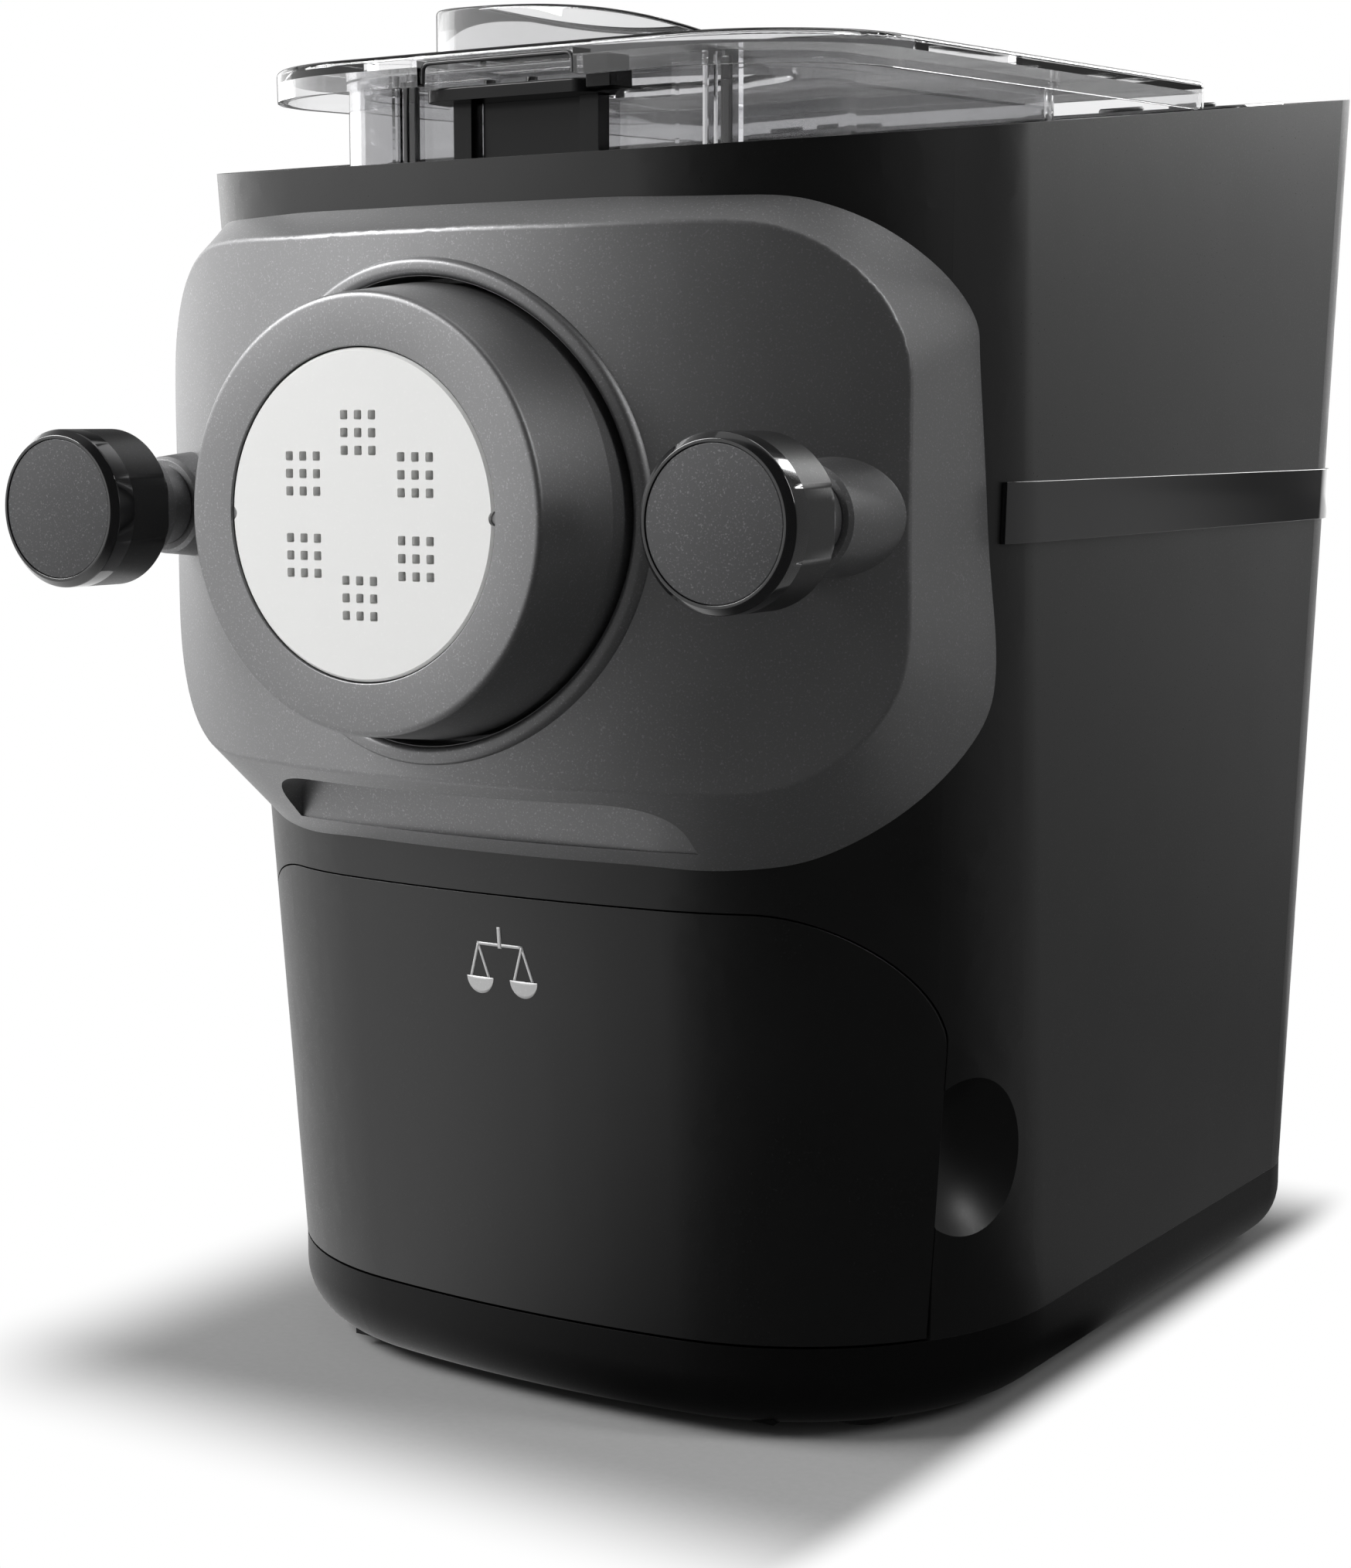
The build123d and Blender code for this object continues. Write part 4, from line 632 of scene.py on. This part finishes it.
@dataclass
class FrontPanel(Assembly):
    """Bowed gun-metal panel with the barrel that holds the disc."""

    body: str = "front_panel"
    seat: float = 36.6 * MM
    seat_depth: float = 7 * MM
    barrel_edge: float = 1.6 * MM
    peg_radius: float = 1.3 * MM
    peg_sink: float = 0.6 * MM
    face_radius: float = 172.8 * MM
    lip_radius: float = 54.6 * MM
    lip_width: float = 4.2 * MM
    lip_height: float = 1.5 * MM

    def barrel(self) -> bpy.types.Object:
        """Barrel: a turned body whose front edge is rounded, with a seat and throat inside.

        Returns:
            The piece.
        """
        low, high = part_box("die_holder")
        front, back = low.y, high.y
        tip, root, flange, spigot = 48.4 * MM, 51.2 * MM, 56 * MM, 24.2 * MM
        cup, waist, throat = 33 * MM, 30 * MM, 21 * MM
        ledge, shoulder, flange_end = front + self.seat_depth, front + 33.7 * MM, front + 37 * MM
        crisp, soft = 0.3 * MM, 0.5 * MM
        corners = [
            (self.seat, front, 0.35 * MM), (tip, front, self.barrel_edge), (root, front + 23 * MM, soft),
            (root, shoulder, 0.2 * MM), (flange, shoulder, crisp), (flange, flange_end, crisp),
            (spigot + 1.8 * MM, flange_end, soft), (spigot, front + 40 * MM, soft), (spigot, back, crisp),
            (throat, back, crisp), (throat, front + 38 * MM, 1 * MM), (waist, front + 24 * MM, 3 * MM),
            (cup, front + 10 * MM, 3 * MM), (cup, ledge, crisp), (self.seat, ledge, 0.2 * MM),
        ]
        profile = rounded(corners, closed=True, steps=7)
        return lathe("barrel", (0.0, AXIS_Z), np.concatenate([profile, profile[:1]]), 256)

    def lip(self) -> bpy.types.Object:
        """Raised lip round the barrel hole.

        The section runs from inside the hole over a round crest of height h to the face. At radius r the
        crest stands h * (1 - |2 (r - middle) / width| ^ 4) ahead of the panel, whose face is a cylinder.

        Returns:
            The piece.
        """
        share = np.linspace(-1, 1, 21)
        crest = self.lip_radius + share * self.lip_width / 2
        inner, outer = crest[0], crest[-1]
        radius = np.concatenate([[inner], crest, [outer, inner + 0.8 * MM, inner]])
        ahead = self.lip_height * (1 - np.abs(share) ** 4)
        into_hole, into_face = -6 * MM, -1.5 * MM
        ahead = np.concatenate([[into_hole], ahead, [into_face, into_face, into_hole]])
        angle = np.linspace(0, 2 * np.pi, 224, endpoint=False)
        x = radius[:, None] * np.cos(angle)
        z = AXIS_Z + radius[:, None] * np.sin(angle)
        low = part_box("front_panel")[0].y
        y = low + self.face_radius - np.sqrt(self.face_radius ** 2 - x * x) - ahead[:, None]
        return Mesh("barrel_hole_lip").grid(np.stack([x, y, z], axis=-1), around=True).object(60)

    def build(self) -> None:
        """Make and dress the panel, its hole lip, the barrel and its two pegs."""
        self.dress(self.lip(), PANEL)
        self.soften(PANEL, Edge.FINE, "front_panel")
        barrel = self.barrel()
        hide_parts("die_holder")
        self.dress(barrel, PANEL)
        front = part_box("die_holder")[0].y
        start, end = front + self.peg_sink, front + self.seat_depth
        for side, label in ((-1, "left"), (1, "right")):
            edge = self.peg_radius
            corners = [(0.0, start, 0), (edge, start, 0.25 * MM), (edge, end, 0), (0.0, end, 0)]
            peg = lathe(f"peg_{label}", (side * self.seat, AXIS_Z), rounded(corners), 32)
            self.dress(peg, PANEL)


@dataclass
class ShapingDisc(Assembly):
    """White shaping disc."""

    body: str = "disc"

    def build(self) -> None:
        """Round the edges of the disc and of its openings."""
        self.soften(DISC, Edge.FINE, "shaping_disc")


@dataclass
class Knob(Assembly):
    """Screw knob: polished bevelled rim, satin cap, two flats, stepped neck."""

    side: int = 1
    radius: float = 18.6 * MM
    flat: float = 16.8 * MM
    grip: tuple[float, float] = (6.5 * MM, 18.4 * MM)
    cap_radius: float = 16.3 * MM
    neck_radius: float = 13.6 * MM
    turns: int = 256
    label: str = field(init=False)

    def __post_init__(self) -> None:
        """Name the knob by its side."""
        self.label = "right" if self.side > 0 else "left"

    def head(self) -> bpy.types.Object:
        """Turned head with two flats.

        The radius at angle t is the profile's, or where the row lies on a flat the smaller of that and
        flat / |cos t|.

        Returns:
            The piece.
        """
        low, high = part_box(f"knob_{self.label}_head")
        x0 = (low.x + high.x) / 2
        front = low.y
        start, end = front + self.grip[0], front + self.grip[1]
        step = 0.25 * MM
        well, face, neck, root, bore = 16.4 * MM, 17.1 * MM, self.neck_radius, 9.6 * MM, 4.0 * MM
        floor, rear, bore_end = front + 1.2 * MM, front + 19.8 * MM, front + 22 * MM
        corners = [
            (well, floor, 0), (well, front, 0.15 * MM), (face, front, 0.3 * MM),
            (self.radius, front + 1.6 * MM, 0.8 * MM), (self.radius, start, 0),
            (self.radius, start + step, 0), (self.radius, end, 0),
            (self.radius - 1.2 * MM, rear, 0.4 * MM), (neck, rear, 0.3 * MM),
            (neck, front + 26 * MM, 0.4 * MM), (root, front + 27 * MM, 0.2 * MM), (root, high.y, 0.2 * MM),
            (bore, high.y, 0), (bore, bore_end, 0), (0.0, bore_end, 0), (0.0, floor, 0), (well, floor, 0),
        ]
        profile = rounded(corners, steps=6)
        angle = np.linspace(0, 2 * np.pi, self.turns, endpoint=False)
        radius, along = profile[:, :1], profile[:, 1:]
        on_flat = (along > start + 0.5 * step) & (radius > self.neck_radius + 0.1 * MM)
        cut = self.flat / np.maximum(np.abs(np.cos(angle)), 1e-3)
        radius = np.where(on_flat, np.minimum(radius, cut), radius + 0 * angle)
        points = np.stack(
            [x0 + radius * np.cos(angle), along + 0 * angle, AXIS_Z + radius * np.sin(angle)], axis=-1
        )
        return Mesh(f"knob_{self.label}_body").grid(points, around=True).object(28.0)

    def ring_mask(self, made: bpy.types.Object) -> None:
        """Give the bevelled rim a polished finish and the stepped neck the panel's.

        Args:
            made: the knob's head.
        """
        made.data.materials.append(KNOB_RING.material())
        made.data.materials.append(PANEL.material())
        centres = np.empty(len(made.data.polygons) * 3)
        made.data.polygons.foreach_get("center", centres)
        along = centres.reshape(-1, 3)[:, 1]
        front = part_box(f"knob_{self.label}_head")[0].y
        rim_end, neck_start = front + 6.4 * MM, front + 20 * MM
        number = np.where(along < rim_end, 1, np.where(along > neck_start, 2, 0))
        made.data.polygons.foreach_set("material_index", number.astype(np.int32))

    def build(self) -> None:
        """Make and dress head, cap and stem."""
        head = self.head()
        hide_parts(f"knob_{self.label}_head")
        self.dress(head, KNOB)
        self.ring_mask(head)
        low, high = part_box(f"knob_{self.label}_cap")
        edge = self.cap_radius
        corners = [(0.0, low.y, 0), (edge, low.y, 0.25 * MM), (edge, high.y, 0), (0.0, high.y, 0)]
        cap = lathe(f"knob_{self.label}_face", ((low.x + high.x) / 2, AXIS_Z), rounded(corners), 128)
        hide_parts(f"knob_{self.label}_cap")
        self.dress(cap, KNOB_CAP)
        self.paint(STEEL, f"knob_{self.label}_stem")


@dataclass
class Housing(Assembly):
    """Matt black shells, band, base tray, top deck and what is fixed inside."""

    body: str = "housing"

    def build(self) -> None:
        """Dress every fixed piece of the housing."""
        self.soften(HOUSING, Edge.SOFT, "housing_front", "side_left", "side_right", "rear_cover", "top_deck")
        self.soften(BASE, Edge.FINE, "base_tray")
        self.soften(TRIM, Edge.FINE, "gloss_band", "control_bezel", "switch_frame")
        self.soften(DISPLAY, Edge.FINE, "display_glass")
        self.soften(RUBBER, Edge.FINE, "feet", "cord_gland")
        self.soften(STEEL, Edge.FINE, "base_screws", "load_cells")
        self.soften(FRAME_GREY, Edge.SOFT, "chassis", "drawer_deck")
        self.paint(BRASS, "stud_bushes")
        self.paint(CASE, "gearbox_case")
        self.paint(STEEL, "bearings")
        self.paint(MOTOR, "motor")
        self.paint(BOARD, "main_board", "control_board")


@dataclass
class Drawer(Assembly):
    """Drawer with its bowed front and a printed pair of scales, drawn in millimetres from its middle."""

    body: str = "drawer"
    form: HousingForm = field(default_factory=HousingForm)
    middle: tuple[float, float] = (1.6 * MM, 113.2 * MM)
    print_gap: float = 0.06 * MM
    line: float = 0.75 * MM
    post_width: float = 1.1 * MM
    post: tuple[float, float] = (1.5, 6.7)
    beam: tuple[float, float] = (6.6, 2.3)
    hook: tuple[float, float] = (6.3, 2.2)
    spread: float = 2.6
    hang: float = 8.1
    bowl: tuple[float, float] = (3.9, 4.1)

    def bar(self, start: tuple[float, float], end: tuple[float, float], width: float) -> np.ndarray:
        """Straight printed line between two places of the drawing."""
        path = np.linspace(start, end, 12) * MM + np.array(self.middle)
        return self.strip(path, width)

    def strip(self, path: np.ndarray, width: float) -> np.ndarray:
        """Flat band along a path in the drawer's face.

        Each path point (x, z) is widened by half the width to both sides along the path's normal, and laid on
        the bowed front.

        Args:
            path: array of (x, z).
            width: width of the band.

        Returns:
            Grid of shape (points, 2, 3).
        """
        run = np.gradient(path, axis=0)
        run = run / np.maximum(np.linalg.norm(run, axis=1, keepdims=True), 1e-9)
        normal = np.stack([-run[:, 1], run[:, 0]], axis=1) * width / 2
        flat = np.stack([path - normal, path + normal], axis=1)
        return self.laid(flat)

    def laid(self, flat: np.ndarray) -> np.ndarray:
        """Lay points (x, z) on the bowed front, a hair's breadth proud."""
        x, z = flat[..., 0], flat[..., 1]
        return np.stack([x, self.form.front_y(x, z) - self.print_gap, z], axis=-1)

    def scales(self) -> bpy.types.Object:
        """Pair of scales: post, beam, four cords and two half-round bowls, printed on the drawer.

        Returns:
            The piece.
        """
        mesh = Mesh("drawer_scales")
        mesh.grid(self.bar((0, self.post[0]), (0, self.post[1]), self.post_width))
        half, height = self.beam
        mesh.grid(self.bar((-half, height), (half, height), self.line))
        share = np.linspace(0.0, 1.0, 6)[:, None]
        angle = np.linspace(np.pi, 2 * np.pi, 25)
        cx, cz = self.middle
        reach, top = self.hook
        low = top - self.hang
        for x in (-reach, reach):
            for spread in (-self.spread, self.spread):
                mesh.grid(self.bar((x, top), (x + spread, low), self.line))
            bowl_x = cx + (x + self.bowl[0] * np.cos(angle)) * MM + 0 * share
            bowl_z = cz + (low + share * self.bowl[1] * np.sin(angle)) * MM
            mesh.grid(self.laid(np.stack([bowl_x, bowl_z], axis=-1)))
        made = mesh.object()
        solid = made.modifiers.new("film", "SOLIDIFY")
        solid.thickness = 0.03 * MM
        return made

    def build(self) -> None:
        """Dress the drawer and print the scales."""
        self.soften(HOUSING, Edge.SOFT, "drawer_front")
        self.soften(BOX, Edge.SOFT, "drawer_box")
        self.dress(self.scales(), PRINT)


@dataclass
class Chamber(Assembly):
    """Clear mixing chamber with its black bracket, tube and seal."""

    body: str = "chamber"
    ribs: tuple[tuple[float, float], ...] = ((-36.4, 1.3), (-34.4, 1.6), (53.0, 2.3))
    rib_y: tuple[float, float] = (-107.1 * MM, -105.6 * MM)
    rib_z: tuple[float, float] = (264 * MM, 318.5 * MM)

    def rib(self, number: int, left: float, width: float) -> bpy.types.Object:
        """Dark upright strip on the chamber's front wall.

        The section is a rectangle with rounded corners, drawn up from the lower to the upper height. Both
        ends are drawn in to the middle line.

        Args:
            number: number of the strip.
            left: place of its left side in millimetres.
            width: its width in millimetres.

        Returns:
            The piece.
        """
        x0, x1 = left * MM, (left + width) * MM
        y0, y1 = self.rib_y
        corner = 0.3 * MM
        corners = [(x0, y0, corner), (x1, y0, corner), (x1, y1, corner), (x0, y1, corner)]
        section = rounded(corners, closed=True)
        middle = section.mean(axis=0)
        low, high = self.rib_z
        rows = [
            np.column_stack([middle + (section - middle) * size, np.full(len(section), z)])
            for size, z in ((0.0, low), (1.0, low), (1.0, high), (0.0, high))
        ]
        return Mesh(f"chamber_rib_{number}").grid(np.stack(rows), around=True).object()

    def build(self) -> None:
        """Dress the chamber and what it carries."""
        self.paint(SMOKE, "mixing_chamber")
        for number, (left, width) in enumerate(self.ribs, 1):
            self.dress(self.rib(number, left, width), RIB)
        self.soften(BRACKET, Edge.SOFT, "chamber_handle")
        self.paint(RUBBER, "shaft_seal")
        self.soften(FOOD_WHITE, Edge.SOFT, "extrusion_tube")


@dataclass
class Kneader(Assembly):
    """Screw and paddle."""

    body: str = "kneader"

    def build(self) -> None:
        """Dress the screw and the paddle."""
        self.soften(FOOD_WHITE, Edge.SOFT, "mixing_paddle")
        self.paint(FOOD_WHITE, "extruder_screw")


@dataclass
class Lid(Assembly):
    """Clear lid with its oval filling funnel, dark notch seal and black catch."""

    body: str = "lid"
    top_z: float = 322.3 * MM
    slope: float = 0.037
    oval_at: tuple[float, float] = (-24 * MM, 104 * MM)
    oval: tuple[float, float] = (54 * MM, 27 * MM)
    wall: float = 2.0 * MM
    rim_height: float = 13 * MM
    rim_fall: tuple[float, float] = (5.4 * MM, 3.4 * MM)
    rim_bend: tuple[float, float] = (3.8 * MM, 4.5 * MM)
    rim_least: float = 1.4 * MM
    notch_x: tuple[float, float] = (-20.2 * MM, 22.2 * MM)
    notch_up: tuple[float, float] = (-7.0 * MM, -2.4 * MM)
    notch_y: float = 18.3 * MM
    notch_corner: float = 2.4 * MM
    seal_radius: float = 0.55 * MM

    def on_lid(self, x: np.ndarray, y: np.ndarray, up: np.ndarray) -> np.ndarray:
        """Points a height above the sloping top; y counts from the housing's front top edge."""
        return np.stack(np.broadcast_arrays(x, y - FRONT_EDGE, self.top_z + self.slope * y + up), axis=-1)

    def funnel(self) -> bpy.types.Object:
        """Oval filling funnel, a thin wall whose rim sweeps down to the right and to the rear.

        At angle t the wall stands on the oval (x0 + a cos t, y0 + b sin t). With u = cos t and v = sin t the
        rim is h - r u - d v - e u^2 - f u^3 over the lid, or the least height where that is more. Here r is
        the fall to the right, d is the fall to the rear, and e and f bend the rim at its two ends. The rim's
        section is half a circle as thick as the wall.

        Returns:
            The piece.
        """
        angle = np.linspace(0, 2 * np.pi, 240, endpoint=False)
        u, v = np.cos(angle), np.sin(angle)
        right, rear = self.rim_fall
        square, cube = self.rim_bend
        rim = self.rim_height - right * u - rear * v - square * u ** 2 - cube * u ** 3
        rim = np.maximum(rim, self.rim_least)
        half = self.wall / 2
        turn = np.linspace(0, np.pi, 9)[:, None]
        inset = np.concatenate([[[0.0]], half * (1 - np.cos(turn)), [[self.wall]], [[0.0]]])
        crown = rim - half + half * np.sin(turn)
        clear_of_lid = 0.05 * MM
        foot = np.full((1, len(angle)), clear_of_lid)
        up = np.concatenate([foot, crown, foot, foot])
        x = self.oval_at[0] + (self.oval[0] - inset) * u
        y = self.oval_at[1] + (self.oval[1] - inset) * v
        return Mesh("funnel_wall").grid(self.on_lid(x, y, up), around=True).object(50.0)

    def notch_frame(self) -> bpy.types.Object:
        """Dark seal round the latch notch, a round bar bent over three sides of a rounded rectangle.

        Each point of the path is moved out by r cos s along the path's own normal in the rim's plane and by
        r sin s to the front.

        Returns:
            The piece.
        """
        (left, right), (low, high) = self.notch_x, self.notch_up
        corner = self.notch_corner
        corners = [(left, low, 0), (left, high, corner), (right, high, corner), (right, low, 0)]
        path = rounded(corners, steps=9)
        run = np.gradient(path, axis=0)
        run = run / np.linalg.norm(run, axis=1, keepdims=True)
        turn = np.linspace(0, 2 * np.pi, 12, endpoint=False)
        radius = np.array([0.0] + [self.seal_radius] * len(path) + [0.0])[:, None]
        path = np.concatenate([path[:1], path, path[-1:]])
        run = np.concatenate([run[:1], run, run[-1:]])
        x = path[:, :1] - run[:, 1:] * radius * np.cos(turn)
        up = path[:, 1:] + run[:, :1] * radius * np.cos(turn)
        y = self.notch_y - radius * np.sin(turn)
        return Mesh("lid_notch_seal").grid(self.on_lid(x, y, up), around=True).object(50.0)

    def build(self) -> None:
        """Dress lid, funnel, notch seal and catch."""
        self.paint(CLEAR, "lid")
        funnel = self.funnel()
        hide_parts("lid_funnel")
        self.dress(funnel, TINTED)
        self.dress(self.notch_frame(), RIB)
        self.soften(BRACKET, Edge.SOFT, "lid_catch")


@dataclass
class Button(Assembly):
    """Push button on the control bezel."""

    number: int = 1

    def build(self) -> None:
        """Dress the button."""
        self.soften(KNOB, Edge.FINE, f"button_{self.number}")


@dataclass
class Drive(Assembly):
    """Shaft, gears, rotor and fan inside, and the mains switch."""

    body: str = "drive"

    def build(self) -> None:
        """Dress the drive's pieces and the rocker of the switch."""
        self.paint(STEEL, "drive_shaft", "motor_rotor")
        self.paint(GEAR_WHITE, "output_gear", "idler_gears")
        self.paint(FRAME_GREY, "cooling_fan")
        self.dress(softened("mains_switch", Edge.SOFT), KNOB, "switch_rocker")


# ---------------------------------------------------------------- studio
@dataclass
class Camera:
    """Camera at the height and side from which the machine is usually shown."""

    place: tuple[float, float, float] = (390.85 * MM, -650.75 * MM, 238.58 * MM)
    yaw: float = 32.75
    pitch: float = 6.71
    lens: float = 64.77
    sensor: float = 36.0
    shift_y: float = -0.0207

    def build(self) -> None:
        """Make it the scene's camera."""
        data = bpy.data.cameras.new("camera")
        data.lens = self.lens
        data.sensor_width = self.sensor
        data.shift_y = self.shift_y
        made = bpy.data.objects.new("camera", data)
        made.location = self.place
        made.rotation_euler = (math.radians(90 - self.pitch), 0, math.radians(self.yaw))
        bpy.context.scene.collection.objects.link(made)
        bpy.context.scene.camera = made


@dataclass(frozen=True)
class Softbox:
    """Rectangular lamp that looks at the middle of the machine."""

    name: str
    azimuth: float
    elevation: float
    distance: float
    width: float
    height: float
    power: float
    aim: tuple[float, float, float] = (0.0, 0.0, 0.18)

    def build(self) -> None:
        """Place the lamp by azimuth (0 in front, 90 to the right) and elevation."""
        data = bpy.data.lights.new(self.name, "AREA")
        data.shape = "RECTANGLE"
        data.size, data.size_y = self.width, self.height
        data.energy = self.power
        a, e = math.radians(self.azimuth), math.radians(self.elevation)
        away = np.array([math.sin(a) * math.cos(e), -math.cos(a) * math.cos(e), math.sin(e)])
        made = bpy.data.objects.new(self.name, data)
        made.location = np.array(self.aim) + away * self.distance
        look = Vector(tuple(-away))
        made.rotation_euler = look.to_track_quat("-Z", "Y").to_euler()
        bpy.context.scene.collection.objects.link(made)


@dataclass
class Studio:
    """Pale floor, pale surroundings and soft lamps.

    The floor shows its shade only within shadow_reach of the machine's footprint, or a quarter of that to
    the right, and blends into the white beyond. Within that reach the camera sees the floor in a darker grey
    than bounced light does, a painted contact shadow.
    """

    floor_half: float = 6.0
    footprint: tuple[float, float] = (98 * MM, 128 * MM)
    shadow_reach: float = 62 * MM
    right_haste: float = 3.0
    floor_grey: float = 0.86
    # darker floor grey that only the camera sees near the machine: painted contact shadow
    painted_contact_shade_grey: float = 0.42
    ambient: float = 0.1
    left_card: float = 1.4
    rear_card: float = 1.6
    side_card: float = 0.22
    front_level: float = 0.05
    least_level: float = 0.01
    flag: tuple[float, float] = (0.54, 0.84)
    lamps: tuple[Softbox, ...] = (
        Softbox("key_left", -50, 33, 1.5, 0.9, 0.6, 24),
        Softbox("strip_left", -104, 12, 1.6, 1.0, 0.8, 3),
        Softbox("side_right", 98, 32, 1.6, 0.3, 0.7, 6),
        Softbox("rim_right", 170, 24, 1.8, 0.5, 0.8, 9),
        Softbox("top", 170, 76, 1.5, 1.6, 1.6, 4),
    )

    def backdrop(self, graph: Graph, heading: Term) -> Term:
        """Brightness that gloss sees in a direction.

        A broad card stands to the left, a narrow one behind and a faint one behind to the right. A dark flag
        at the heading (left, behind) = flag hides the broad card's rear end, and the front is almost dark.

        Args:
            graph: graph to add the nodes to.
            heading: direction, or place on the floor seen from the middle.

        Returns:
            The brightness.
        """
        x, y, z = graph.split(heading)
        away = (x * x + y * y).root() + 0.001
        left = graph.node("ShaderNodeMath", {"operation": "DIVIDE"}, {0: -x, 1: away})
        behind = graph.node("ShaderNodeMath", {"operation": "DIVIDE"}, {0: y, 1: away})
        card = left.above(-0.3, 0.95) * self.left_card * (1 - z.above(0.25, 0.8) * 0.8)
        flag = (left * self.flag[0] + behind * self.flag[1]).above(0.9, 0.99)
        rear = behind.above(0.93, 1.0) * self.rear_card
        side = (-left).above(0.34, 0.42) * behind.above(0.0, 0.3) * self.side_card
        front = (-behind).above(-0.2, 0.6) * self.front_level
        return card * (1 - flag * 0.9) + rear + side + front + self.least_level

    def shown(self, graph: Graph) -> tuple[Term, Term]:
        """Masks of rays that should meet the plain white, and of rays off glossy surfaces.

        Args:
            graph: graph to add the nodes to.

        Returns:
            Mask of camera and transmission rays, and mask of glossy rays.
        """
        path = graph.node("ShaderNodeLightPath", {}, {}).socket.node.outputs
        plain = Term(graph, path["Is Camera Ray"]).at_least(Term(graph, path["Is Transmission Ray"]))
        return plain, Term(graph, path["Is Glossy Ray"])

    def floor(self) -> bpy.types.Object:
        """Level sheet whose points lie on a square grid.

        Returns:
            The floor.
        """
        line = np.linspace(-self.floor_half, self.floor_half, 9)
        x, y = np.meshgrid(line, line)
        made = Mesh("floor").grid(np.stack([x, y, 0 * x], axis=-1)).object()
        material = bpy.data.materials.new("floor_white")
        material.use_nodes = True
        graph = Graph(material.node_tree)
        where = graph.place()
        px, py, _ = graph.split(where)
        half_w, half_d = self.footprint
        over_x = (abs(px) - half_w).at_least(0.0) + (px - half_w).at_least(0.0) * self.right_haste
        over_y = (abs(py) - half_d).at_least(0.0)
        far = (over_x * over_x + over_y * over_y).root().above(0.0, self.shadow_reach)
        plain, gloss = self.shown(graph)
        grain = graph.noise(2 * MM, 2.0, where)
        # Painted shadow: camera rays see the floor near the machine in the darker contact grey, other rays in
        # the pale floor grey
        share = grain * 0.1 + (1 - plain) * 0.9
        shade = graph.blend(share, (self.painted_contact_shade_grey,) * 3, (self.floor_grey,) * 3)
        inputs = {"Color": shade, "Roughness": 0.8}
        matt = graph.node("ShaderNodeBsdfDiffuse", {}, inputs)
        glow = graph.node("ShaderNodeEmission", {}, {"Strength": 1.0})
        level = self.backdrop(graph, where)
        mirrored = graph.blend(level, (0, 0, 0), (1, 1, 1))
        mirrored = graph.node("ShaderNodeEmission", {}, {"Color": mirrored})
        seen = graph.node("ShaderNodeMixShader", {}, {0: plain * far, 1: matt, 2: glow})
        graph.surface(graph.node("ShaderNodeMixShader", {}, {0: gloss, 1: seen, 2: mirrored}))
        made.data.materials.append(material)
        return made

    def surroundings(self) -> None:
        """World: white where it is seen, the backdrop's gradient for gloss, and a low grey for light."""
        world = bpy.data.worlds.new("studio")
        bpy.context.scene.world = world
        world.use_nodes = True
        graph = Graph(world.node_tree)
        plain, gloss = self.shown(graph)
        heading = graph.node("ShaderNodeTexCoord", {}, {}, "Generated")
        unseen = gloss * self.backdrop(graph, heading) + (1 - gloss) * self.ambient
        strength = plain + (1 - plain) * unseen
        shader = graph.node("ShaderNodeBackground", {}, {"Color": (1, 1, 1, 1), "Strength": strength})
        graph.node("ShaderNodeOutputWorld", {}, {"Surface": shader})

    def build(self) -> None:
        """Make floor, surroundings and lamps."""
        self.floor()
        self.surroundings()
        for lamp in self.lamps:
            lamp.build()
        bpy.context.scene.view_settings.view_transform = "Standard"


def main() -> None:
    """Build every sub-assembly in order, then the camera and the studio."""
    logging.basicConfig(level=logging.INFO, format="%(message)s")
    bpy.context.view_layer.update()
    assemblies = [
        Housing(), FrontPanel(), ShapingDisc(), Knob("knob_left", side=-1), Knob("knob_right", side=1),
        Drawer(), Chamber(), Kneader(), Lid(), Drive(),
    ]
    assemblies += [Button(f"button_{number}", number=number) for number in range(1, 5)]
    for assembly in assemblies:
        assembly.build()
    Camera().build()
    Studio().build()


if __name__ == "__main__":
    main()
